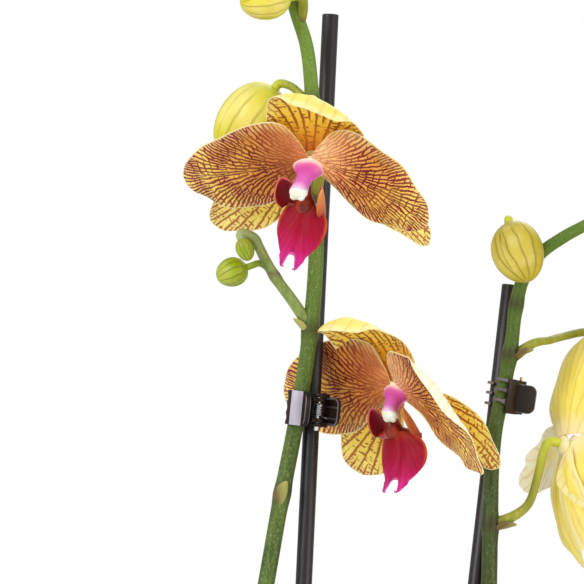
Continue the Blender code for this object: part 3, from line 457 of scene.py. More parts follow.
def chip_bark(name, deep, pale):
    """Orchid bark: rough split pine bark, layered and dry."""
    look, tree, shader = new_look(name, Roughness=.88)
    layers = grain(tree, 260, 5, (1, 1, 3.2), .6)
    tone = add(tree, "ValToRGB", {"Fac": layers}, stops=((.3, deep), (.72, pale)))
    tree.links.new(tone, shader.inputs["Base Color"])
    relief(tree, shader, layers, .6, .8)
    return look


def pot_plastic():
    """Grower's pot: thin injection-moulded polypropylene in terracotta brown, with a fine satin texture."""
    look, tree, shader = new_look("moulded_polypropylene", Roughness=.42, IOR=1.49)
    tone = add(tree, "ValToRGB", {"Fac": grain(tree, 26, 3)}, stops=((.3, "#8A4630"), (.7, "#9A5238")))
    tree.links.new(tone, shader.inputs["Base Color"])
    relief(tree, shader, grain(tree, 1500, 2), .05, .5)
    return look


# Making and finishing pieces

def choose(*pieces):
    """Selects only these pieces; the last is the active one."""
    bpy.ops.object.select_all(action="DESELECT")
    for piece in pieces:
        piece.select_set(True)
        bpy.context.view_layer.objects.active = piece


def worked(piece, kind, **settings):
    """Adds a modifier and applies it."""
    choose(piece)
    step = piece.modifiers.new(kind.title(), kind)
    for name, value in settings.items():
        setattr(step, name, value)
    bpy.ops.object.modifier_apply(modifier=step.name)
    return piece


def dressed(piece, name, *looks):
    piece.name = piece.data.name = name
    piece.data.materials.clear()
    for look in looks:
        piece.data.materials.append(look)
    return piece


def settled(piece, slot, *nodes, body="root"):
    """Says which body a piece rides on and the solids that it stands for, which it hides. The slot is not used."""
    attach(piece, body)
    if nodes:
        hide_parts(*nodes)
    return piece


def coords(mesh):
    flat = np.empty(len(mesh.vertices) * 3)
    mesh.vertices.foreach_get("co", flat)
    return flat.reshape(-1, 3)


def moved(mesh, points):
    mesh.vertices.foreach_set("co", np.asarray(points, float).ravel())
    mesh.update()


def marked(mesh, name, pairs):
    """Keeps two numbers a point as a UV map."""
    layer = mesh.uv_layers.get(name) or mesh.uv_layers.new(name=name)
    loops = np.empty(len(mesh.loops), int)
    mesh.loops.foreach_get("vertex_index", loops)
    layer.uv.foreach_set("vector", np.asarray(pairs, float)[loops].ravel())


def bare(mesh):
    """Takes away a primitive's own UV map."""
    while mesh.uv_layers:
        mesh.uv_layers.remove(mesh.uv_layers[0])


def one(pieces, name):
    """Joins pieces into the first."""
    choose(*pieces[1:], pieces[0])
    bpy.ops.object.join()
    made = bpy.context.active_object
    made.name = made.data.name = name
    return made


def smooth(piece, angle=180):
    choose(piece)
    if angle >= 180:
        bpy.ops.object.shade_smooth()
    else:
        bpy.ops.object.shade_smooth_by_angle(angle=radians(angle))
    return piece


def through(points, count):
    """Points along a smooth curve (Catmull-Rom) through the given ones."""
    p = np.array(points, float)
    p = np.vstack([2 * p[0] - p[1], p, 2 * p[-1] - p[-2]])
    spans = len(p) - 3
    line = []
    for t in np.linspace(0, spans, count):
        i = min(int(t), spans - 1)
        s = t - i
        a, b, c, d = p[i:i + 4]
        line.append(.5 * (2 * b + (c - a) * s + (2 * a - 5 * b + 4 * c - d) * s * s
                          + (3 * b - a - 3 * c + d) * s ** 3))
    return np.array(line)


def route(points, count):
    """Evenly spaced points along a smooth curve through the given ones, for stems and roots."""
    p = np.array(points, float)
    gaps = np.linalg.norm(np.diff(p, axis=0), axis=1)
    marks = np.concatenate([[0], np.cumsum(gaps)])
    slopes = np.diff(p, axis=0) / gaps[:, None]
    before, after = gaps[:-1, None], gaps[1:, None]
    inner = (slopes[:-1] * after + slopes[1:] * before) / (before + after)
    tangents = np.vstack([slopes[:1], inner, slopes[-1:]])
    line = []
    for s in np.linspace(0, marks[-1], count):
        i = min(int(np.searchsorted(marks, s, "right")) - 1, len(gaps) - 1)
        t = (s - marks[i]) / gaps[i]
        line.append((2 * t ** 3 - 3 * t ** 2 + 1) * p[i] + (t ** 3 - 2 * t ** 2 + t) * gaps[i] * tangents[i]
                    + (3 * t ** 2 - 2 * t ** 3) * p[i + 1] + (t ** 3 - t ** 2) * gaps[i] * tangents[i + 1])
    return np.array(line)


def graph(points, t):
    """Heights at t of a smooth graph through (t, height) points."""
    line = through(points, 120)
    return np.interp(t, line[:, 0], line[:, 1])


def rod_along(points, radii, sides, *looks, name="rod"):
    """Round rod with filled ends along points, in millimetres."""
    bpy.ops.curve.primitive_nurbs_path_add()
    thing = bpy.context.active_object
    curve = thing.data
    curve.splines.clear()
    curve.dimensions = "3D"
    curve.bevel_depth = MM
    curve.bevel_resolution = (sides - 4) // 2
    curve.use_fill_caps = True
    spline = curve.splines.new("POLY")
    spline.points.add(len(points) - 1)
    spline.points.foreach_set("co", np.hstack([np.asarray(points) * MM, np.ones((len(points), 1))]).ravel())
    spline.points.foreach_set("radius", np.asarray(radii, float))
    choose(thing)
    bpy.ops.object.convert(target="MESH")
    made = bpy.context.active_object
    bpy.ops.object.mode_set(mode="EDIT")
    bpy.ops.mesh.select_all(action="SELECT")
    bpy.ops.mesh.remove_doubles(threshold=.001 * MM)
    bpy.ops.mesh.normals_make_consistent(inside=False)
    bpy.ops.object.mode_set(mode="OBJECT")
    dressed(made, name, *looks)
    return smooth(made, 70)


def stalk(points, radius, count, sides, *looks, name="stalk", knots=()):
    """Rod along a smooth curve; radius is a (t, radius) graph, and knots are (height, swell, reach). It is
    marked with how brown it is, at its knots or where it leaves its spike, and with its run."""
    line = route(points, count)
    run = np.linspace(0, 1, count)
    radii = graph(radius, run)
    for height, swell, reach in knots:
        radii = radii + swell * np.exp(-((line[:, 2] - height) / reach) ** 2)
    made = rod_along(line, radii, sides, *looks, name=name)
    points = coords(made.data) / MM
    nearest = ((points[:, None] - line[None]) ** 2).sum(axis=2).argmin(axis=1)
    brown = np.zeros(len(points))
    if knots:
        for height, swell, reach in knots:
            brown += .75 * np.exp(-((points[:, 2] - height - .8) / (.8 * reach)) ** 2)
    else:
        from_root = np.concatenate([[0], np.cumsum(np.linalg.norm(np.diff(line, axis=0), axis=1))])[nearest]
        brown += .9 * np.exp(-(from_root / 3.6) ** 2)
    bare(made.data)
    marked(made.data, "fan", np.column_stack([brown, run[nearest]]))
    return made


# Blades: sepals, petals, lips and leaves

PETAL = ((0, .2), (.08, .5), (.18, .8), (.3, .98), (.55, 1.0), (1, .95))
UPPER = ((0, .34), (.025, .66), (.06, .88), (.14, 1.02), (.28, 1.05), (.55, 1.03), (1, .95))
HIGH = ((0, .34), (.025, .66), (.06, .88), (.14, 1.02), (.3, 1.1), (.6, 1.2), (.85, 1.16), (1, 1.1))
LOWER = ((0, .14), (.1, .3), (.24, .5), (.4, .83), (.6, 1.03), (.8, 1.08), (1, 1.0))
SEPAL = ((0, .3), (.2, .48), (.35, .74), (.5, .93), (.7, 1.04), (1, 1.0))
HOOD = ((0, .4), (.14, .7), (.28, .9), (.5, .95), (.75, .96), (1, 1.0))
HALF_HOOD = ((0, .4), (.14, .56), (.35, .62), (.55, .66), (.75, .85), (1, 1.0))
SHOULDER = ((0, .3), (.03, .7), (.08, 1.1), (.16, 1.42), (.28, 1.5), (.44, 1.5), (.62, 1.32), (.82, 1.0), (1, .6))
SLIM = ((0, .1), (.1, .23), (.24, .37), (.4, .6), (.6, .74), (.8, .69), (1, .51))
LOBE = ((0, .4), (.12, .84), (.3, 1.0), (.48, .95), (.66, .72), (.82, .52), (.92, .45), (1, .42))
EAR = ((0, .6), (.3, .9), (.6, 1), (1, 1))
STRAP = ((0, .3), (.1, .38), (.3, .78), (.55, 1.0), (.8, .98), (1, .9))
LAST_ROW = .985


def blade_points(u, v, turn, length, width, outline=PETAL, right=None, root=(0, 0, 0), rise=0, curl=0, hook=0,
                 hook_from=.6, twist=0, twist_tip=0, cup=0, cup_tip=None, bow=0, point=2.4, ruffle=(0, 1, 0), crease=0,
                 notch=0, fold=(1, .8, 0)):
    """Points of a blade at u across (-1 to 1) and v along (0 to 1), with its flat half width and reach.

    The blade leaves root towards turn degrees clockwise from +Y, in the XY plane. Its midrib climbs
    towards +Z by rise, changes by curl over its length and by hook near its tip. Its cross-section
    bends through cup degrees on each side, towards +Z when positive; fold turns one side's margin over.
    """
    cup_tip = cup if cup_tip is None else cup_tip
    along = np.array([sin(radians(turn)), cos(radians(turn)), 0])
    up = np.array([0, 0, 1.0])
    across = np.cross(along, up)
    t = np.sin(pi / 2 * LAST_ROW * v)
    t = t * (1 - notch * (1 - np.exp(-((np.abs(u) - .7) / .28) ** 2)) * t ** 3)
    steps = 400
    middles = (np.arange(steps) + .5) / steps
    angles = np.radians(rise + curl * middles + hook * np.maximum(0, middles - hook_from) ** 2)
    marks = np.linspace(0, 1, steps + 1)
    reach = np.interp(t, marks, np.concatenate([[0], np.cumsum(np.cos(angles))]) / steps)
    climb = np.interp(t, marks, np.concatenate([[0], np.cumsum(np.sin(angles))]) / steps)
    angle = np.radians(rise + curl * t + hook * np.maximum(0, t - hook_from) ** 2)[:, None]
    normal = -np.sin(angle) * along + np.cos(angle) * up
    spin = np.radians(twist + twist_tip * t)[:, None]
    side = np.cos(spin) * across + np.sin(spin) * normal
    face = -np.sin(spin) * across + np.cos(spin) * normal
    edge = graph(outline, t)
    if right is not None:
        edge = np.where(u > 0, graph(right, t), edge)
    half = width / 2 * edge * np.sqrt(np.maximum(1 - t ** point, 0))
    parts = 24
    across_to = (np.arange(parts) + .5) / parts * u[:, None]
    lap_side, lap_from, lap = fold
    over_edge = np.clip((across_to * lap_side - lap_from) / (1 - lap_from), 0, 1)
    lean = np.radians((cup + (cup_tip - cup) * t)[:, None] * across_to + lap * lap_side * over_edge
                      * np.sin(pi * np.clip((t - .36) / .56, 0, 1))[:, None])
    over = half * u * np.cos(lean).mean(axis=1) + bow * 4 * t * (1 - t)
    out = half * u * np.sin(lean).mean(axis=1)
    height, count, phase = ruffle
    out = out + height * np.abs(u) ** 3 * np.sin(2 * pi * count * v + phase + 1.9 * np.sign(u)) * np.sin(pi * v)
    out = out - crease * np.exp(-(u * half / 1.1) ** 2) * np.sin(pi * np.clip(v, 0, 1)) ** .5
    points = (np.array(root) + length * (reach[:, None] * along + climb[:, None] * up)
              + over[:, None] * side + out[:, None] * face)
    return points, half, length * t


FAN_START = .3                # where the veins' rays would meet, behind the root, in blade lengths


def rays(x, y, length, bend):
    """Vein coordinates of flat points of a blade: the ray, and the millimetres to a unit of rays. A ray
    leaves along the midrib and turns towards the margin, more so with a greater bend."""
    far = (y / length + FAN_START) / (1 + FAN_START)
    slope = x / length / far ** bend
    ease = 2 / np.sqrt(1 + 4 * slope ** 2)
    across = ease / length / far ** bend
    down = ease * slope * bend / (far * length * (1 + FAN_START))
    return np.arcsinh(2 * slope), 1 / np.hypot(across, down)


def blade(name, shape, looks, columns=44, rows=60, thickness=.5, bend=3.6, thin=.6, even=True):
    """Closed blade that thins towards its margin; looks are its face, back and rim."""
    bpy.ops.mesh.primitive_grid_add(x_subdivisions=columns, y_subdivisions=rows, size=2)
    piece = dressed(bpy.context.active_object, name, *looks)
    mesh = piece.data
    bare(mesh)
    flat = coords(mesh)
    u, v = flat[:, 0], (flat[:, 1] + 1) / 2
    points, half, reach = blade_points(u, v, **shape)
    moved(mesh, points * MM)
    ray, spread = rays(half * u, reach, shape["length"], bend)
    marked(mesh, "fan", np.column_stack([ray, reach]))
    breadth = np.maximum(half, .34 * shape["width"] * (half > .5))
    margin = np.minimum(breadth * (1 - np.abs(u)), (shape["length"] - reach) * 1.5)
    marked(mesh, "size", np.column_stack([spread, margin]))
    group = piece.vertex_groups.new(name="thickness")
    for number, across in enumerate(u):
        group.add([number], float(1 - thin * abs(across) ** 3), "REPLACE")
    worked(piece, "SOLIDIFY", thickness=thickness * MM, offset=0.0, material_offset=1, material_offset_rim=2,
           vertex_group="thickness", use_even_offset=even)
    piece.vertex_groups.clear()
    return smooth(piece, 60)


# Blooms. Each looks along its own +Z, with +Y towards its back sepal and +X to its right.

def bloom_frame(centre, yaw, nod, roll):
    turn = Matrix.Rotation(radians(yaw), 4, "Z") @ Matrix.Rotation(radians(nod), 4, "X")
    return (Matrix.Translation(Vector(centre) * MM) @ turn @ Matrix.Rotation(pi / 2, 4, "X")
            @ Matrix.Rotation(radians(-roll), 4, "Z"))


SEAT_BACK = -4.0
GAP = .3

BLOOMS = {
    1: dict(
        frame=((-6.4, -22, 474.4), -20, 36, 8),
        dorsal=dict(turn=8.9, length=40.8, width=34.7, root=(-.6, 0, -3.9), rise=-8.3, curl=63.8, hook=350,
                    cup=12, cup_tip=42, twist=-14, twist_tip=25, bow=.6, point=4),
        petal_l=dict(turn=-110, length=46.4, width=33, outline=LOWER, right=UPPER, root=(.2, 1.5, 1.2), rise=5.8,
                     curl=-18.7, cup=-6.6, twist=3.3, bow=.4),
        petal_r=dict(turn=115.5, length=42.4, width=30.1, outline=UPPER, right=LOWER, root=(.4, 1.7, .9),
                     rise=12.4, curl=-15.8, cup=-17.6, twist=-1.8, bow=-3.1),
        lateral_l=dict(turn=-133.5, length=47.2, width=25, root=(-2, -2, -2), rise=-5, curl=-1, cup=16.6, twist=11),
        lateral_r=dict(turn=129, length=44.1, width=19.9, root=(2, -2, -2), rise=-2, curl=-1, cup=30, twist=73,
                       bow=-2.8),
        lobe=dict(turn=194, length=20.9, width=16.7, root=(1.2, -9.6, 9.4), rise=43, curl=-4, cup=-26, twist=-12),
        ears=(dict(turn=-4, root=(-5.8, -11.5, 8), twist=-28, width=9.8),
              dict(turn=2, root=(6.2, -14.2, 8.4), length=12.4, twist=84)),
        lean=(-.4, 1.06),
    ),
    2: dict(
        frame=((20.8, -.4, 402.7), -38, 35, 0),
        dorsal=dict(turn=-8, length=39.8, width=33.4, right=HALF_HOOD, root=(-1.5, .3, -4.0), rise=-14, curl=68,
                    hook=371, cup=4, cup_tip=46, twist=-9.3, twist_tip=20, bow=1.2, point=4),
        petal_l=dict(turn=-93.8, length=43.4, width=33.9, outline=LOWER, right=HIGH, root=(0, 1.1, 1.3),
                     rise=10.8, curl=-15.2, cup=-6.9, twist=-12, bow=.4),
        petal_r=dict(turn=109.6, length=49.3, width=33.7, outline=SHOULDER, right=SLIM, root=(1.6, -.3, .3),
                     rise=24.1, curl=8.7, cup=8.9, cup_tip=4.7, twist=-16.3, twist_tip=19.7, bow=-4.9,
                     fold=(-1, .76, 150)),
        lateral_l=dict(turn=-139.3, length=40.3, width=26.5, root=(-2, -2, -2), rise=6.9, curl=-1.8, cup=18.5,
                       twist=3.9, bow=-.7),
        lateral_r=dict(turn=120.3, length=42.9, width=19.8, root=(2, -2, -2), rise=8, curl=16.2, cup=23.4,
                       twist=21.9, bow=-1.3),
        lobe=dict(turn=179, length=19.6, width=19, root=(2.4, -10.2, 9.4), rise=42, curl=14, cup=-31, bow=-2),
        ears=(dict(turn=14, root=(-6.6, -12.8, 8), length=12.5, twist=-45, width=7.4),
              dict(turn=-2, root=(8.0, -14.4, 6.4), length=13.2, twist=62, width=7)),
        lean=(3.3, .88),
    ),
    3: dict(
        frame=((77.4, 2, 384.8), 108, 5, 10),
        dorsal=dict(turn=.3, length=41.1, width=34.5, root=(0, 3, -1), rise=3, curl=30, hook=120, cup=24,
                    twist=-20, point=4),
        petal_l=dict(turn=-136.5, length=39.7, width=31.9, root=(-3, 1, 0), rise=12.6, cup=-4.5, twist=40.4,
                     bow=2.4),
        petal_r=dict(turn=103, length=38, width=20, root=(3, 1, 0), rise=0, curl=-6, cup=-4, twist=3),
        lateral_l=dict(turn=-162, length=45.5, width=15, root=(-2, -2, -2), rise=-20, curl=72, cup=11.7,
                       twist=20, bow=1.6),
        lateral_r=dict(turn=170, length=40, width=20, root=(2, -2, -2), rise=-14, curl=60, cup=12),
        lobe=dict(turn=180, length=20.9, width=16.7, root=(0, -9.6, 9.4), rise=43, curl=-4, cup=-26),
        ears=(dict(turn=-2, root=(-5.6, -11.6, 8), twist=-50), dict(turn=2, root=(5.6, -11.6, 8), twist=50)),
    ),
    4: dict(
        frame=((110, 27, 417), 98, 12, 4),
        dorsal=dict(turn=0, length=40, width=33, root=(0, 3, -1), rise=-4, curl=40, hook=100, cup=24, point=4),
        petal_l=dict(turn=-92, length=40, width=33, root=(-3, 1, 0), rise=4, curl=-18, cup=-8, bow=.4),
        petal_r=dict(turn=94, length=40, width=33, root=(3, 1, 0), rise=4, curl=-16, cup=-8, bow=-.4),
        lateral_l=dict(turn=-138, length=42, width=25, root=(-2, -2, -2), rise=-8, curl=-4, cup=16, twist=8),
        lateral_r=dict(turn=138, length=42, width=25, root=(2, -2, -2), rise=-8, curl=-4, cup=16, twist=-8),
        lobe=dict(turn=180, length=20.9, width=16.7, root=(0, -9.6, 9.4), rise=43, curl=-4, cup=-26),
        ears=(dict(turn=-2, root=(-5.6, -11.6, 8), twist=-50), dict(turn=2, root=(5.6, -11.6, 8), twist=50)),
    ),
}


def ball(place, radii, look, name="ball", segments=24, rings=16):
    """Ellipsoid in a bloom's own frame, in millimetres."""
    bpy.ops.mesh.primitive_uv_sphere_add(segments=segments, ring_count=rings, radius=1)
    piece = dressed(bpy.context.active_object, name, look)
    bare(piece.data)
    moved(piece.data, (coords(piece.data) * radii + np.array(place)) * MM)
    return smooth(piece)


def make_column(number, lean, looks):
    """The column: winged at its base, with a two-lobed ivory cap on its tip; lean is how far its tip stands
    aside, and its length against the common one."""
    path = through(((0, -1.4, .2), (0, -1.7, 3.5), (0, -2.0, 8), (0, -2.5, 11.2), (0, -2.9, 12.6)), 40)
    radii = graph(((0, 4.3), (.08, 3.9), (.22, 2.8), (.5, 2.5), (.75, 2.8), (.92, 2.8), (1, 2.0)),
                  np.linspace(0, 1, 40))
    shaft = rod_along(path, radii, 28, looks["column"], name="shaft")
    bare(shaft.data)
    points = coords(shaft.data) / MM
    points[:, 0] *= 1 + .5 * np.exp(-((points[:, 2] - 2.4) / 2.2) ** 2)
    moved(shaft.data, points * MM)
    reach = np.clip((points[:, 2] - .6) / 12, 0, 1)
    marked(shaft.data, "fan", np.column_stack([points[:, 0], reach]))
    cap = ball((0, -2.6, 12.0), (2.95, 2.5, 2.5), looks["anther"], "cap")
    parts = [shaft, cap]
    for side in (-1, 1):
        parts.append(ball((1.1 * side, -3.5, 13.2), (1.35, 1.3, 1.2), looks["anther"], "beak"))
    column = one(parts, f"bloom_{number}_column")
    aside, stretch = lean
    points = coords(column.data) / MM
    points[:, 0] += aside * points[:, 2] / 12.6
    points[:, 2] *= stretch
    moved(column.data, points * MM)
    return column


def make_lip(number, plan, looks):
    """The lip: claw, callus, two upright ears and the middle lobe with two short horns."""
    claw = stalk(((0, -3.9, 2.7), (0, -4.0, 4.2), (0, -6.4, 6.6), (0, -9.6, 8.2), (0, -12.2, 8.8)),
                 ((0, 1.1), (.15, 1.2), (.5, 2.0), (.8, 3.2), (1, 3.0)), 30, 20, looks["callus"], name="claw")
    lobe = blade("lobe", dict(plan["lobe"], outline=LOBE, point=900, notch=.22, crease=.7, ruffle=(.3, 2, 1)),
                 (looks["lip"], looks["lip_edge"], looks["lip_edge"]), 48, 56, .8, 1.6, .3, False)
    left, right = plan["ears"]
    base = stalk((left["root"], (0, -12.4, 8.0), right["root"]), ((0, 1.3), (.5, 2.6), (1, 1.3)), 30, 20,
                 looks["callus"], name="base")
    parts = [claw, base, lobe]
    for ear in (left, right):
        shape = dict(dict(outline=EAR, length=11.8, width=9, rise=4, curl=12, cup=50), **ear)
        parts.append(blade("ear", shape, (looks["ear"], looks["ear_back"], looks["lip_edge"]), 28, 32, .8, 1.5, .4))
    for x in (-1.2, 1.2):
        parts.append(ball((x, -10.4, 10.2), (.9, 1.6, 1.1), looks["callus"], "callus"))
    parts.append(ball((0, -12.4, 9.5), (1.6, 1.9, 1.0), looks["callus"], "callus"))
    for part in parts:
        if "fan" not in part.data.uv_layers:
            bare(part.data)
    return one(parts, f"bloom_{number}_lip")


def make_bloom(number, looks):
    plan = BLOOMS[number]
    place = bloom_frame(*plan["frame"])
    # The left petals take the darker look, painted shade; the right petals take the lighter look, painted light.
    petal = (looks["petal"], looks["back"], looks["rim"])
    bright = (looks["bright_petal"], looks["cream_back"], looks["rim"])
    sepal = (looks["sepal"], looks["back"], looks["rim"])
    chance = random.Random(number)

    def wave(height, count):
        return height, count, chance.uniform(0, 6)

    blades = [
        blade("dorsal", dict(plan["dorsal"], outline=HOOD, ruffle=wave(.5, 2.5), crease=.5), sepal, bend=1.3),
        blade("petal", dict(plan["petal_l"], ruffle=wave(.8, 3), crease=.5), petal),
        blade("petal", dict(plan["petal_r"], ruffle=wave(.8, 3), crease=.5), bright),
        blade("lateral", dict(plan["lateral_l"], outline=SEPAL, ruffle=wave(.6, 2.5), crease=.6), sepal, bend=1.7),
        blade("lateral", dict(plan["lateral_r"], outline=SEPAL, ruffle=wave(.6, 2.5), crease=.6), sepal, bend=1.7),
    ]
    seat = ball((0, -.8, -2.8), (3.5, 3.2, 1.7), looks["rim"], "seat")
    petals = one(blades + [seat], f"bloom_{number}_petals")
    lip = make_lip(number, plan, looks)
    column = make_column(number, plan.get("lean", (0, 1)), looks)
    for piece in (petals, lip, column):
        piece.data.transform(place)
    settled(petals, "petal_gold", f"petals_{number}")
    settled(lip, "lip_crimson", f"lip_{number}")
    settled(column, "column_pink", f"column_{number}")


# Buds: base, tip, half width

BUDS = (
    ((-17.4, 7.0, 499.2), (-34.5, 11.0, 477.5), 10.2),
    ((-12.6, -6.4, 527.6), (-28.6, -10.6, 525.4), 6.6),
    ((-28.2, -10.2, 450.6), (-25.8, -11.0, 443.4), 2.9),
    ((-26.4, -2.6, 441.4), (-36.2, -3.0, 438.0), 4.7),
    ((-12.6, -2.4, 549.2), (-4.6, -6.0, 558.4), 4.2),
    ((-22.4, -6.6, 557.6), (-27.4, -9.6, 564.8), 3.0),
    ((57.2, -6.0, 455.6), (62.8, -12.0, 436.8), 8.3),
    ((101.5, 3.0, 473.4), (97.0, 1.5, 487.5), 6.2),
    ((127.6, 1.4, 470.6), (126.6, -1.2, 481.0), 4.4),
)
FULLNESS = .45


def make_bud(number, base, tip, half_width, look):
    """Closed bud: three sepals meet in sunk seams that run to the tip, with a keel on each."""
    bpy.ops.mesh.primitive_uv_sphere_add(segments=72, ring_count=40, radius=1)
    piece = dressed(bpy.context.active_object, f"bud_{number}_skin", look)
    bare(piece.data)
    a, b = Vector(base), Vector(tip)
    length = (b - a).length
    p = coords(piece.data)
    t = (p[:, 2] + 1) / 2
    around = np.arctan2(p[:, 1], p[:, 0])
    ring = np.hypot(p[:, 0], p[:, 1])
    skew = 1 + (.5 - FULLNESS) * 1.3 * (1 - 2 * t)
    turn = around + .35 * t
    seam = np.exp(-((np.mod(turn * 3 / (2 * pi), 1) - .5) / .045) ** 2) * np.sin(pi * np.clip(t * 1.05, 0, 1))
    keel = .045 * np.cos(3 * turn)
    r = half_width * ring * skew * (1 + keel - .09 * seam)
    points = np.column_stack([r * np.cos(around), r * np.sin(around), t * length])
    moved(piece.data, points * MM)
    marked(piece.data, "fan", np.column_stack([turn / (2 * pi), t]))
    spin = (b - a).to_track_quat("Z", "Y").to_matrix().to_4x4()
    piece.data.transform(Matrix.Translation(a * MM) @ spin)
    smooth(piece)
    return settled(piece, "bud_yellow_green", f"bud_{number}")


# Spikes

SPIKE_1 = ((-5, -10.8, 124), (-5.2, -14, 124.9), (-6.4, -18.5, 131), (-9, -22.5, 150), (-17, -25, 195),
           (-25, -23.5, 245), (-27.5, -19, 285), (-25, -13, 315), (-20.5, -8, 340), (-15.7, -4.2, 367),
           (-11.2, -1.3, 390), (-9, -.8, 402), (-6.1, 0, 423), (-4.5, 0, 444), (-4.8, 0, 470), (-5.8, 0, 497),
           (-7.7, 0, 513), (-11.2, 0, 524), (-13.6, -.8, 534), (-14.6, -2, 545), (-18, -4.4, 553))
SPIKE_2 = ((5, -10.8, 124), (5.3, -14, 124.9), (7.4, -18.5, 131), (12, -23.5, 145), (24, -27.5, 160), (36, -27, 186),
           (43, -22.5, 225), (48, -13.5, 285), (50.6, -6.6, 340), (51.2, -4.2, 364), (51.6, -2.6, 377),
           (52.9, -1, 390), (55.2, 0, 400.5), (58.2, 0, 418), (59.4, 0, 428), (61.6, 0, 437), (67, 0, 445.4),
           (74.4, 0, 450.8), (84, 1, 456), (100, 2, 465.5), (114, 2, 467.5), (126, 2, 466), (138, 2, 461))


def behind(number, back, aside=(0, 0)):
    """World point that far behind a bloom's seat, in millimetres."""
    spot = bloom_frame(*BLOOMS[number]["frame"]) @ (Vector((aside[0], aside[1], SEAT_BACK - GAP - back)) * MM)
    return tuple(spot / MM)


def bud_stalk(number, *points, lead=3.2):
    """Points of a stalk that ends at a bud's base, in line with it for its last millimetres."""
    a, b = Vector(BUDS[number - 1][0]), Vector(BUDS[number - 1][1])
    way = (b - a).normalized()
    return list(points) + [tuple(a - way * lead), tuple(a + way * .8)]


def bract(root, turn, rise, looks, length=7.5, width=8.0, cup=85, curl=10):
    """Boat-shaped scale that clasps a node."""
    shape = dict(turn=turn, root=root, length=length, width=width, outline=STRAP, rise=rise, curl=curl, cup=cup)
    return blade("bract", shape, (looks["bract"], looks["bract"], looks["bract"]), 16, 20, .6, 1.5, .6)


def make_spikes(looks):
    green, young = looks["stem"], looks["stalk"]
    parts = [
        stalk(SPIKE_1, ((0, 3.0), (.45, 2.7), (.6, 2.6), (.9, 2.2), (1, 1.3)), 260, 24, green,
              knots=((262, .5, 3), (172, .5, 3), (369, .35, 3), (421, .5, 3), (462, .4, 3), (494, .3, 3))),
        stalk(((-4.8, .2, 463), (-3.4, -3.4, 469.5), behind(1, 8, (1, 1)), behind(1, 4), behind(1, -1)),
              ((0, 1.9), (.5, 1.4), (1, 1.6)), 40, 16, young),
        stalk(bud_stalk(1, (-6.2, .2, 493), (-9.6, 2.4, 497), (-12.8, 4.4, 499.6), lead=1.2),
              ((0, 1.5), (.5, 1.3), (1, 1.5)), 40, 16, young),
        stalk(bud_stalk(2, (-9.6, 0, 519), (-8.6, -2.4, 524.6)), ((0, 1.6), (1, 1.7)), 24, 16, young),
        stalk(bud_stalk(3, (-7.5, 0, 424), (-12.4, -1.9, 431.2), (-17.6, -4, 438.4), (-20.4, -5.4, 443.2),
                        (-22.6, -6.8, 447.6), (-24.2, -8.2, 450.6), lead=.9),
              ((0, 1.9), (.5, 1.7), (.8, 1.6), (.93, 1.7), (1, 1.3)), 70, 16, looks["pale_stem"], knots=((438.4, .25, 1.4),)),
        # Bud 4's stalk takes darker stalk colours: painted shade.
        stalk(bud_stalk(4, (-16.6, -3.6, 437.2), (-19.4, -3.0, 440.6), (-22.6, -2.7, 442.6), lead=1.4),
              ((0, 1.05), (1, 1.1)), 30, 16, looks["shade_stalk"]),
        bract((-20.2, -6.8, 443.4), -84, 66, looks, 8.5, 4.4, 60, -30),
        stalk(bud_stalk(5, (-14.6, -1.9, 543.5), (-14.2, -2, 546.4)), ((0, 1.1), (1, 1.1)), 20, 16, young),
        stalk(bud_stalk(6, (-16.8, -3.8, 551.2)), ((0, 1.3), (1, 1.0)), 16, 16, young),
        bract((-7.4, -.9, 420.0), -100, 44, looks, 6.5, 6),
        bract((-15.8, -6.2, 364.6), 140, 66, looks, 9, 9, 110),
        bract((-27.4, -21, 258), -120, 72, looks, 13, 11, 110),
        bract((-12.4, -24.6, 168), 120, 66, looks, 14, 12, 110),
    ]
    settled(one(parts, "spike_1_stem"), "stem_green", "spike_1")
    parts = [
        stalk(SPIKE_2, ((0, 3.0), (.45, 2.7), (.58, 2.55), (.8, 2.1), (1, 1.1)), 280, 24, looks["olive_stem"],
              knots=((262, .5, 3), (359, .5, 3), (413, .5, 3), (429, .3, 3))),
        stalk(((51.4, -3.8, 378.4), (48, -1.6, 382.6), (44.2, 4, 387.6), (38.6, 9.6, 393.4), (31.5, 11, 398.6), behind(2, 5),
               behind(2, -1)), ((0, 1.9), (.5, 1.4), (1, 1.6)), 50, 16, young),
        stalk(((51.6, -4.4, 359.4), (56.5, -4.6, 361), (62.4, -5, 364.8), (66.2, -4.6, 374.5), (68.4, -3.4, 383),
               behind(3, 3.4), behind(3, -1)), ((0, 2.0), (.4, 1.35), (1, 1.6)), 60, 16, young),
        stalk(((59, 0, 413), (64.6, 1.6, 416.7), (70.6, 8.6, 417.9), (75.6, 18.6, 419), (83, 25.6, 420.4),
               (93.4, 28.6, 420.6), behind(4, 5), behind(4, -1)), ((0, 1.9), (.25, 1.3), (1, 1.5)), 60, 16, young),
        stalk(bud_stalk(7, (63.4, .6, 441), (60.4, 1.6, 448), (57.6, -1.0, 453.6), lead=.8),
              ((0, 1.7), (.8, 1.4), (1, 1.2)), 40, 16, young),
        stalk(bud_stalk(8, (98, 2, 463.5), (101, 2.6, 467)), ((0, 1.5), (1, 1.3)), 20, 16, young),
        stalk(bud_stalk(9, (124, 2, 464.8), (127, 1.8, 466.8)), ((0, 1.2), (1, 1.1)), 20, 16, young),
        bract((51.6, -5.6, 357.4), 86, 8, looks, 8, 8),
        bract((58.9, -1.2, 412.6), 86, 16, looks, 6.5, 7),
        bract((47.2, -14.9, 257), 124, 68, looks, 13, 11, 110),
    ]
    settled(one(parts, "spike_2_stem"), "stem_green", "spike_2")


# Stakes: a point on the straight rod, its lean in X and Y per millimetre of height, and its top

STAKES = {1: ((-5.75, 2.84, 396.2), (.0475, .0862), 523.0), 2: ((53.9, 5.65, 400.5), (.119, .105), 435.7)}
STAKE_RADIUS = 2.65
STAKE_FOOT = 12.0


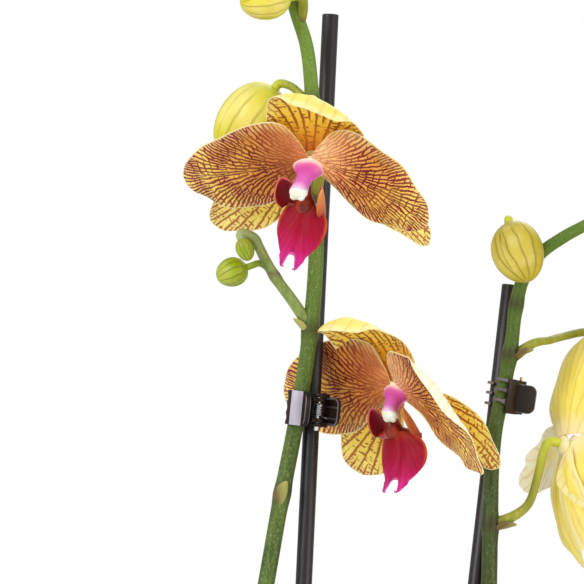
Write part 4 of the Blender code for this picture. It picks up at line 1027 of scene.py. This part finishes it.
def make_stakes(look):
    for number, ((x, y, height), (lean_x, lean_y), top) in STAKES.items():
        ends = [Vector((x + (z - height) * lean_x, y + (z - height) * lean_y, z)) for z in (STAKE_FOOT, top)]
        length = (ends[1] - ends[0]).length
        bpy.ops.mesh.primitive_cylinder_add(vertices=48, radius=STAKE_RADIUS * MM, depth=length * MM)
        piece = dressed(bpy.context.active_object, f"stake_{number}_rod", look)
        bpy.ops.object.mode_set(mode="EDIT")
        bpy.ops.mesh.select_all(action="DESELECT")
        bpy.ops.object.mode_set(mode="OBJECT")
        for face in piece.data.polygons:
            face.select = face.normal.z > .9
        bpy.ops.object.mode_set(mode="EDIT")
        bpy.ops.mesh.inset(thickness=.75 * MM)
        bpy.ops.mesh.extrude_region_move(TRANSFORM_OT_translate={"value": (0, 0, -6 * MM)})
        bpy.ops.object.mode_set(mode="OBJECT")
        worked(piece, "BEVEL", width=.18 * MM, segments=2, angle_limit=radians(40))
        turn = (ends[1] - ends[0]).to_track_quat("Z", "Y").to_matrix().to_4x4()
        bare(piece.data)
        piece.data.transform(Matrix.Translation((ends[0] + ends[1]) / 2 * MM) @ turn)
        smooth(piece, 40)
        settled(piece, "stake_black", f"stake_{number}")


# Clips. In a clip's own frame the pin stands on the origin along Z, the jaws reach to -X, the levers to
# +X, and the sprung half is on the -Y side. One half has a closed wall with short teeth, the other has
# three open prongs; the first clip's plate and the second clip's prongs look towards the camera.

ROD_CENTRE = (-6.2, 2.9)
JAW_CENTRE = (-5.9, 2.9)
JAW_RADIUS = 3.65
HALF_HEIGHT = 5.5
PRONG = .9                    # height of a prong or a tooth
SLOT_ROOT = -5.6
BAND = 1.15                   # height of one knuckle
PIN_RADIUS = .8


def clip_frame(stem, stake, lean):
    """Frame of a clip that holds a stem and a stake at these points, leaning that much in X."""
    between = Vector(stake) - Vector(stem)
    up = Vector((lean, 0, 1)).normalized()
    back = Vector((between.x, between.y, 0))
    back = (back - up * back.dot(up)).normalized()
    across = back.cross(up)
    turn = Matrix((across, back, up)).transposed().to_4x4()
    middle = (Vector(stem) + Vector(stake)) / 2
    return Matrix.Translation(middle * MM) @ turn @ Matrix.Translation(Vector((-ROD_CENTRE[0], 0, 0)) * MM)


def picked(piece, kind, wanted):
    """Goes into edit mode with only the wanted faces or edges selected."""
    choose(piece)
    bpy.ops.object.mode_set(mode="EDIT")
    bpy.ops.mesh.select_mode(type=kind)
    bpy.ops.mesh.select_all(action="DESELECT")
    bpy.ops.object.mode_set(mode="OBJECT")
    for item in piece.data.polygons if kind == "FACE" else piece.data.edges:
        item.select = bool(wanted(item))
    bpy.ops.object.mode_set(mode="EDIT")


def block(x, y, z, *looks, name="block"):
    """Box between these limits, in millimetres."""
    bpy.ops.mesh.primitive_cube_add(size=2)
    piece = dressed(bpy.context.active_object, name, *looks)
    bare(piece.data)
    low, high = np.array([x, y, z]).T
    moved(piece.data, np.where(coords(piece.data) > 0, high, low) * MM)
    return piece


def bar(start, end, radius, *looks, sides=24, name="bar"):
    """Straight round bar between two points, in millimetres."""
    a, b = Vector(start), Vector(end)
    bpy.ops.mesh.primitive_cylinder_add(vertices=sides, radius=radius * MM, depth=(b - a).length * MM)
    piece = dressed(bpy.context.active_object, name, *looks)
    bare(piece.data)
    turn = (b - a).to_track_quat("Z", "Y").to_matrix().to_4x4()
    piece.data.transform(Matrix.Translation((a + b) / 2 * MM) @ turn)
    return piece


def holed(piece, cutters):
    picked(piece, "FACE", lambda face: True)
    bpy.ops.mesh.normals_make_consistent(inside=False)
    bpy.ops.object.mode_set(mode="OBJECT")
    for cutter in cutters:
        worked(piece, "BOOLEAN", object=cutter, operation="DIFFERENCE", solver="EXACT")
        bpy.data.objects.remove(cutter, do_unlink=True)
    return piece


def jaw_wall(heights, closed, last, looks):
    """Wall round one rod, to this angle about it: closed, with teeth at these heights on its edge, or cut
    into prongs there."""
    x0, y0 = JAW_CENTRE
    last = radians(last)
    line = [(-1.0, 2.9), (-1.9, 3.9), (-2.7, 4.6)]
    for angle in np.linspace(radians(46), last, 33):
        line.append((x0 + JAW_RADIUS * cos(angle), y0 + JAW_RADIUS * sin(angle)))
    line = np.array(line)
    bpy.ops.mesh.primitive_grid_add(x_subdivisions=len(line) - 1, y_subdivisions=1, size=2)
    wall = dressed(bpy.context.active_object, "wall", looks["clip"], looks["clip_plate"], looks["clip_edge"])
    bare(wall.data)
    flat = coords(wall.data)
    step = np.rint((flat[:, 0] + 1) / 2 * (len(line) - 1)).astype(int)
    moved(wall.data, np.column_stack([line[step], HALF_HEIGHT * np.sign(flat[:, 1])]) * MM)
    worked(wall, "SOLIDIFY", thickness=.9 * MM, offset=0.0, use_even_offset=True)
    ends = (HALF_HEIGHT + .6, -HALF_HEIGHT - .6) if closed else (HALF_HEIGHT + 1, -HALF_HEIGHT - 1)
    edges = [ends[0]] + [z + side * PRONG / 2 for z in heights for side in (1, -1)] + [ends[1]]
    outward = Vector((cos(last), sin(last), 0))
    cutters = []
    for high, low in zip(edges[::2], edges[1::2]):
        middle, half = (high + low) / 2, (high - low) / 2
        if closed:
            tip = Vector((*line[-1], middle))
            cutters.append(bar(tip - 3 * outward, tip + 3 * outward, half, sides=32))
        elif half > .1:
            cutters.append(block((-14, SLOT_ROOT - half), (-3, 9), (low, high)))
            cutters.append(bar((SLOT_ROOT - half, -3, middle), (SLOT_ROOT - half, 9, middle), half, sides=32))
    holed(wall, cutters)
    worked(wall, "BEVEL", width=.16 * MM, segments=2, angle_limit=radians(48))
    for face in wall.data.polygons:
        x, y, z = face.center / MM
        if closed:
            away = face.normal.x * (x - x0) + face.normal.y * (y - y0) > 2
            # A band of the closed wall's outer face takes the lilac-grey look: a painted reflection.
            face.material_index = int(away and x0 + .4 < x < -2.2)
        else:
            # The free prongs take the grey look: a painted glint.
            face.material_index = 2 * (x < SLOT_ROOT - .6)
    return wall


def lever(flare, length, looks):
    """Finger lever that flares out by so many degrees: a dished plate with rounded corners. Its hollow side,
    with two ribs and a ring for the spring's leg, faces the other lever."""
    plate = block((-1.6, length), (2.9, 4.6), (-4.8, 4.4), looks["clip"], looks["clip_edge"], name="lever")
    picked(plate, "EDGE", lambda edge: all(plate.data.vertices[v].co.x > 2 * MM for v in edge.vertices)
           and abs(plate.data.vertices[edge.vertices[0]].co.y - plate.data.vertices[edge.vertices[1]].co.y) > MM)
    bpy.ops.mesh.bevel(offset=2.4 * MM, segments=8)
    bpy.ops.object.mode_set(mode="OBJECT")
    picked(plate, "FACE", lambda face: face.normal.y < -.9)
    bpy.ops.mesh.inset(thickness=.6 * MM)
    bpy.ops.mesh.extrude_region_move(TRANSFORM_OT_translate={"value": (0, 1.1 * MM, 0)})
    bpy.ops.object.mode_set(mode="OBJECT")
    # Its bevels take the grey look: a painted glint along the lever's rim.
    worked(plate, "BEVEL", width=.26 * MM, segments=3, angle_limit=radians(48), material=1)
    parts = [plate]
    for low in (1.0, -2.7):
        # The ribs' bevels take the grey look too: painted glint.
        rib = block((-.8, length - .9), (3.5, 4.1), (low, low + .5), looks["clip"], looks["clip_edge"], name="rib")
        parts.append(worked(rib, "BEVEL", width=.12 * MM, segments=2, material=1))
    bpy.ops.mesh.primitive_torus_add(major_radius=.95 * MM, minor_radius=.22 * MM, major_segments=32,
                                     minor_segments=12)
    ring = dressed(bpy.context.active_object, "ring", looks["clip"])
    bare(ring.data)
    ring.data.transform(Matrix.Translation(Vector((1.4, 4.0, -.6)) * MM) @ Matrix.Rotation(pi / 2, 4, "X"))
    parts.append(ring)
    made = one(parts, "lever")
    points = coords(made.data) / MM
    points[:, 1] -= .02 * np.maximum(points[:, 0], 0) ** 2
    moved(made.data, points * MM)
    made.data.transform(Matrix.Rotation(radians(flare), 4, "Z"))
    return made


def half_clip(side, wall, grip, knuckles, looks, name):
    """One half of a clip; side is 1 for the fixed half and -1 for the sprung one."""
    parts = [jaw_wall(*wall, looks), lever(*grip, looks)]
    for low in knuckles:
        knuckle = bar((0, 0, low), (0, 0, low + BAND), 1.9, looks["clip"], sides=32, name="knuckle")
        web = block((-1.4, 1.4), (.7, 3.4), (low, low + BAND), looks["clip"], name="web")
        for part in (knuckle, web):
            holed(part, [bar((0, 0, low - 1), (0, 0, low + 2.5), PIN_RADIUS + .15, sides=32)])
            parts.append(worked(part, "BEVEL", width=.12 * MM, segments=2, angle_limit=radians(50)))
    half = one(parts, name)
    points = coords(half.data)
    points[:, 1] *= side
    moved(half.data, points)
    picked(half, "FACE", lambda face: True)
    bpy.ops.mesh.normals_make_consistent(inside=False)
    bpy.ops.object.mode_set(mode="OBJECT")
    return smooth(half, 40)


def spring(number, looks):
    """Close coil round the pin, with a leg to each lever; the second leg moves with the sprung half."""
    turns, reach = 6.5, 1.45
    coil = []
    for step in range(261):
        angle = turns * 2 * pi * step / 260
        coil.append((reach * cos(angle), reach * sin(angle), -2.2 + 4.4 * step / 260))
    coil = [(4.4, .35, -2.3), (3.4, .2, -2.25)] + coil
    wire = rod_along(coil, [.27] * len(coil), 10, looks["steel"], name="coil")
    leg = rod_along(through(((-reach, -.15, 2.3), (-1.3, -.9, 2.3), (.4, -1.5, 2.3), (2.6, -2.3, 2.1), (4.4, -3.1, 1.6)), 40),
                    [.27] * 40, 10, looks["steel"], name="leg")
    for piece in (wire, leg):
        bare(piece.data)
    wire.name = wire.data.name = f"clip_{number}_spring"
    leg.name = leg.data.name = f"clip_{number}_spring_leg"
    return wire, leg


def make_clips(looks):
    places = (clip_frame((-10.1, -1.0, 396.2), (-5.75, 2.84, 396.2), .1),
              clip_frame((55.2, 0, 400.5), (53.9, 5.65, 400.5), .15))
    for number, place in enumerate(places, 1):
        if number == 1:
            fixed = ((3.2, -.2, -3.4), False, 152), (12, 6.2)
            sprung = ((4.9, 1.4, -1.8, -5.0), True, 128), (42, 4.8)
        else:
            fixed = ((3.4, .2, -3.2), False, 222), (12, 5.4)
            sprung = ((5.0, 1.8, -1.6), False, 152), (12, 5.4)
        back = half_clip(1, *fixed, (-5.35, 4.2), looks, f"clip_{number}_back_half")
        jaw = half_clip(-1, *sprung, (-3.9, 2.75), looks, f"clip_{number}_front_half")
        wire, leg = spring(number, looks)
        if number == 1:
            pin = bar((0, 0, -6.6), (0, 0, 5.2), PIN_RADIUS, looks["bright_pin"], name="clip_1_rivet")
        else:
            pin = bar((0, 0, -5.2), (0, 0, 6.6), .42, looks["brass"], name="clip_2_rivet")
        worked(pin, "BEVEL", width=.15 * MM, segments=2, angle_limit=radians(40))
        smooth(pin, 40)
        for piece in (back, jaw, wire, leg, pin):
            piece.data.transform(place)
        settled(back, "clip_black", f"clip_{number}_back")
        settled(jaw, "clip_black", f"clip_{number}_jaw", body=f"clip_{number}_jaw")
        settled(wire, "spring_steel", f"clip_{number}_coil")
        settled(leg, "spring_steel", body=f"clip_{number}_jaw")
        settled(pin, "pin_brass", f"clip_{number}_pin")


# Leaves, roots, growing medium and pot

CROWN_TOP = 152.0
CROWN_HALF = (12.0, 9.0)
CROWN_PROFILE = ((0, CROWN_TOP), (6, CROWN_TOP - 1), (9.4, CROWN_TOP - 3), (11.2, CROWN_TOP - 8),
                 (CROWN_HALF[0], CROWN_TOP - 16), (CROWN_HALF[0], 100), (9.5, 84), (0, 80))
LEAF_THICK = 1.7
LEAVES = (
    dict(turn=83, height=126, length=186, width=66, rise=36, curl=-62, cup=20),
    dict(turn=-82, height=131, length=178, width=64, rise=42, curl=-66, cup=20),
    dict(turn=77, height=137, length=152, width=58, rise=50, curl=-58, cup=22),
    dict(turn=-75, height=141, length=142, width=56, rise=55, curl=-60, cup=22),
    dict(turn=68, height=147, length=104, width=46, rise=64, curl=-52, cup=26),
)
NEW_LEAF = dict(turn=-62, root=(-4.6, 2.2, 152.1), length=72, width=36, rise=72, curl=-40, cup=34)


def crown_reach(turn, z):
    """How far the crown stands out at a height, in a direction clockwise from +Y."""
    wide, deep = CROWN_HALF
    radius = float(np.interp(-z, [-h for r, h in CROWN_PROFILE], [r for r, h in CROWN_PROFILE]))
    return sqrt((radius * sin(radians(turn))) ** 2 + (radius * deep / wide * cos(radians(turn))) ** 2)


def make_leaves(looks):
    shapes = []
    for leaf in LEAVES:
        shape = dict(leaf)
        height = shape.pop("height")
        lean = LEAF_THICK / 2 * sin(radians(leaf["rise"]))
        reach = crown_reach(leaf["turn"], height - LEAF_THICK / 2) + GAP + lean
        shape["root"] = (reach * sin(radians(leaf["turn"])), reach * cos(radians(leaf["turn"])), height)
        shapes.append(shape)
    for number, shape in enumerate(shapes + [NEW_LEAF], 1):
        plan = dict(shape, outline=STRAP, point=3.2, crease=1.5, ruffle=(1.2, 1.5, number))
        leaf = blade(f"leaf_{number}_blade", plan, (looks["leaf"], looks["leaf_back"], looks["leaf"]), 40, 90, 2.2,
                     .4, .55)
        settled(leaf, "leaf_green", f"leaf_{number}")


ROOTS = (
    (-32, ((12, 116), (24, 121), (44, 126), (60, 128.5), (70, 124), (75, 108), (74, 88), (79, 66))),
    (-148, ((12, 117), (26, 123), (46, 127), (60, 128), (69, 121), (72, 104), (76, 86))),
    (72, ((10, 116), (24, 122), (44, 126), (61, 128.5), (72, 126), (82, 116), (88, 98), (86, 80), (91, 60))),
    (118, ((10, 117), (24, 122), (46, 126.5), (60, 128), (70, 122), (73, 104), (70.5, 86), (72, 70))),
)


def make_roots(looks):
    """Aerial roots that leave the crown, cross the rim and hang outside the pot, with green tips."""
    for number, (heading, line) in enumerate(ROOTS, 1):
        way = radians(heading)
        points = []
        for k, (reach, z) in enumerate(line):
            drift = way + radians(7 * sin(k * 1.3 + number))
            points.append((reach * cos(drift), reach * sin(drift), z))
        wide, deep = CROWN_HALF
        start = Vector((cos(way), sin(way)))
        edge = 1 / sqrt((start.x / wide) ** 2 + (start.y / deep) ** 2) + GAP + 1.3
        points[0] = (start.x * edge, start.y * edge, line[0][1])
        count = 120
        path = route(points, count)
        steps = np.linspace(0, 1, count)
        radii = graph(((0, 2.4), (.3, 2.6), (.8, 2.4), (1, 1.5)), steps)
        radii = radii + .16 * np.array([noise.noise(Vector((s * 22, number * 5.0, 0))) for s in steps])
        radii[-4:] *= (.93, .8, .58, .25)
        body = rod_along(path, radii, 20, looks["root"], looks["root_tip"], name="root")
        tip = Vector(path[-1]) * MM
        for face in body.data.polygons:
            face.material_index = int((face.center - tip).length < 9 * MM)
        body.name = body.data.name = f"root_{number}_velamen"
        settled(body, "root_grey", f"root_{number}")


POT_TOP_RADIUS, POT_BASE_RADIUS, POT_HEIGHT, POT_WALL, POT_RIM = 62.0, 46.0, 122.0, 2.4, 2.6
BARK_TOP = 108.0


def pot_inside(z):
    """Radius of the pot's inner wall at a height."""
    floor = POT_WALL + .2
    return POT_BASE_RADIUS - POT_WALL + (z - floor) / (POT_HEIGHT - floor) * (POT_TOP_RADIUS - POT_BASE_RADIUS)


def lathed(profile, sides, name, *looks):
    """Turned solid: a disc is extruded and scaled ring by ring from its first face to its last."""
    radius, height = profile[0]
    bpy.ops.mesh.primitive_circle_add(vertices=sides, radius=radius * MM, fill_type="NGON", location=(0, 0, 0))
    piece = dressed(bpy.context.active_object, name, *looks)
    bpy.ops.object.mode_set(mode="EDIT")
    bpy.ops.mesh.select_all(action="SELECT")
    bpy.ops.transform.translate(value=(0, 0, height * MM))
    for r, z in profile[1:]:
        bpy.ops.mesh.extrude_region_move(TRANSFORM_OT_translate={"value": (0, 0, (z - height) * MM)})
        bpy.ops.transform.resize(value=(r / radius, r / radius, 1), center_override=(0, 0, z * MM))
        radius, height = r, z
    bpy.ops.mesh.select_all(action="SELECT")
    bpy.ops.mesh.normals_make_consistent(inside=False)
    bpy.ops.object.mode_set(mode="OBJECT")
    bare(piece.data)
    return piece


def make_pot(looks):
    top = POT_HEIGHT
    rim = POT_TOP_RADIUS + POT_RIM
    floor = POT_WALL + .2
    profile = [(POT_BASE_RADIUS - 4, 0), (POT_BASE_RADIUS - 1, 0), (POT_BASE_RADIUS + .4, 1.6),
               (POT_TOP_RADIUS - 1.2, top - 10.5), (rim, top - 9), (rim, top - 1.2), (rim - .6, top),
               (POT_TOP_RADIUS + .6, top), (pot_inside(top) + .4, top - .5), (pot_inside(top - 2), top - 2),
               (pot_inside(floor), floor)]
    pot = lathed(profile, 128, "pot_shell", looks["pot"])
    cutters = []
    for i in range(4):
        angle = radians(45 + 90 * i)
        bpy.ops.mesh.primitive_cylinder_add(vertices=32, radius=4.5 * MM, depth=12 * MM,
                                            location=(27 * cos(angle) * MM, 27 * sin(angle) * MM, 2 * MM))
        cutters.append(bpy.context.active_object)
    cutter = one(cutters, "drain_cutter")
    worked(pot, "BOOLEAN", object=cutter, operation="DIFFERENCE", solver="EXACT")
    bpy.data.objects.remove(cutter, do_unlink=True)
    worked(pot, "BEVEL", width=.35 * MM, segments=2, angle_limit=radians(35))
    settled(smooth(pot, 35), "pot_plastic", "pot")


def make_bark(looks):
    """Chips of pine bark heaped on a rough bed inside the pot."""
    chance = random.Random(11)
    bed = lathed([(pot_inside(3) - 6, POT_WALL + .6), (pot_inside(3) - .4, POT_WALL + .6), (pot_inside(60) - .4, 60),
                  (pot_inside(BARK_TOP - 4) - .4, BARK_TOP - 4), (pot_inside(BARK_TOP) - 3, BARK_TOP - 2)], 64, "bed",
                 looks["bark_dark"])
    parts = [bed]
    masters = []
    for kind in range(5):
        bpy.ops.mesh.primitive_cube_add(size=1)
        chip = dressed(bpy.context.active_object, f"chip_{kind}", looks["bark"], looks["bark_dark"])
        bpy.ops.object.mode_set(mode="EDIT")
        bpy.ops.mesh.subdivide(number_cuts=3)
        bpy.ops.object.mode_set(mode="OBJECT")
        p = coords(chip.data)
        rough = np.array([noise.noise_vector(Vector(q) * 2.2 + Vector((kind * 9.0, 0, 0))) for q in p])
        fine = np.array([noise.noise_vector(Vector(q) * 6.0 + Vector((kind * 5.0, 3.0, 0))) for q in p])
        p = p * (1 - .16 * np.abs(p[:, [1, 2, 0]])) + .17 * rough + .06 * fine
        moved(chip.data, p)
        bare(chip.data)
        masters.append(chip)
    total = 150
    for i in range(total):
        angle = i * 2.39996
        reach = 15 + 39 * sqrt((i + .5) / total)
        size = Vector((chance.uniform(10, 19), chance.uniform(7, 11), chance.uniform(4, 7.5)))
        lean = Matrix.Rotation(chance.uniform(-.45, .45), 4, "X") @ Matrix.Rotation(chance.uniform(-.45, .45), 4, "Y")
        spin = Matrix.Rotation(chance.uniform(0, pi), 4, "Z")
        spot = Vector((reach * cos(angle), reach * sin(angle), BARK_TOP - 2 + chance.uniform(-1.5, 4.0)))
        chip = masters[i % len(masters)].copy()
        chip.data = chip.data.copy()
        bpy.context.collection.objects.link(chip)
        chip.data.transform(Matrix.Translation(spot * MM) @ spin @ lean @ Matrix.Diagonal((*(size * MM), 1)))
        for face in chip.data.polygons:
            face.material_index = i % 3 == 0
        parts.append(chip)
    for master in masters:
        bpy.data.objects.remove(master, do_unlink=True)
    heap = one(parts, "bark_heap")
    settled(smooth(heap, 40), "bark", "bark")


def make_crown(looks):
    profile = [(9.5, 84)] + [(r, z) for r, z in CROWN_PROFILE[1:6][::-1]] + [(2.0, CROWN_TOP)]
    crown = lathed(profile, 64, "crown_stub", looks["stem"])
    crown.data.transform(Matrix.Diagonal((1, CROWN_HALF[1] / CROWN_HALF[0], 1, 1)))
    settled(smooth(crown, 70), "stem_green", "crown")


def main():
    make_stage()
    looks = {
        # Two copies of one petal colouring: the darker is painted shade, the lighter painted light.
        "petal": petal_face("painted_shade_petal_face", "#D88C50", "#C47A3C", "#B8682C"),
        "bright_petal": petal_face("painted_light_petal_face", "#FFCE98", "#FFC07C", "#EE9E5A"), "sepal": sepal_face(),
        "back": blade_back("pale_petal_back", "#F4E8A4", 4.0), "cream_back": blade_back("cream_petal_back", "#FFF8DC", 12.0),
        "rim": blade_rim(),
        "lip": lip_face(), "lip_edge": lip_edge(), "ear": ear_face(), "ear_back": ear_back(), "callus": throat(),
        "column": column_skin(), "anther": anther_skin(), "bud": bud_skin("satin_bud_skin", "#EADC74", "#D4CA08", "#BEC02C", "#DCC83C", "#A09828"),
        "ripe_bud": bud_skin("amber_bud_skin", "#CCBA48", "#BAA610", "#A09822", "#E4CC80", "#7E6224"),
        "young_bud": bud_skin("green_bud_skin", "#B4BE34", "#94A606", "#88980E", "#B09A4A", "#5E6A18"),
        "stem": stem_skin("waxy_green_stem", "#5C7224", "#3A4E14", "#3C3420", "#6E8C2C", .26),
        "olive_stem": stem_skin("waxy_olive_stem", "#465318", "#29320C", "#362A18", "#5E8022", .14),
        "stalk": stem_skin("waxy_young_stalk", "#A8A638", "#868C26", "#5E4C2C", "#C8CC40", .12),
        "pale_stem": stem_skin("waxy_branch", "#8EA052", "#6A7C38", "#6A5C44", "#9CA86C"),
        # Darker, greener stalk colours for the stalk of bud 4: painted shade.
        "shade_stalk": stem_skin("painted_shade_bud_stalk", "#8A9A24", "#66780E", "#5E5A2C", "#9AAE30", .1),
        "bract": stem_skin("papery_bract", "#A0A04C", "#747C30", "#6E5C34", "#A8A458", .1),
        "stake": stake_plastic(), "clip": clip_plastic("moulded_clip_plastic", "#150B05", "#2A190E", .36),
        # A lilac-grey copy of the clip plastic is a painted reflection; a grey copy is painted glint on edges and
        # prongs.
        "clip_plate": clip_plastic("polished_clip_plate", "#AEA6B4", "#BAB2BE", .2),
        "clip_edge": clip_plastic("worn_clip_edge", "#5A5256", "#766E72", .3),
        "bright_pin": drawn_metal("bright_steel_pin", "#E4E2E0", .2),
        "brass": drawn_metal("drawn_brass_pin", "#C8A050", .25), "steel": drawn_metal("drawn_spring_steel", "#B8B8BC", .22),
        "leaf": leaf_skin("leathery_leaf_face", "#2F5A24", "#48762F", .34),
        "leaf_back": leaf_skin("leathery_leaf_back", "#5B7F42", "#6E9150", .5),
        "root": root_skin(), "root_tip": stem_skin("tender_root_tip", "#A8B858", "#7E9A3A", "#8A6A5A", "#9AAA4A", .1),
        "bark": chip_bark("split_pine_bark", "#4A2C1A", "#8A5A38"),
        "bark_dark": chip_bark("aged_pine_bark", "#2C1B12", "#5E3E28"),
        "pot": pot_plastic(),
    }
    for number in BLOOMS:
        make_bloom(number, looks)
    for number, bud in enumerate(BUDS, 1):
        make_bud(number, *bud, looks["young_bud" if number in (3, 4, 9) else "ripe_bud" if number == 7 else "bud"])
    make_spikes(looks)
    make_stakes(looks["stake"])
    make_clips(looks)
    make_leaves(looks)
    make_roots(looks)
    make_crown(looks)
    make_bark(looks)
    make_pot(looks)


main()
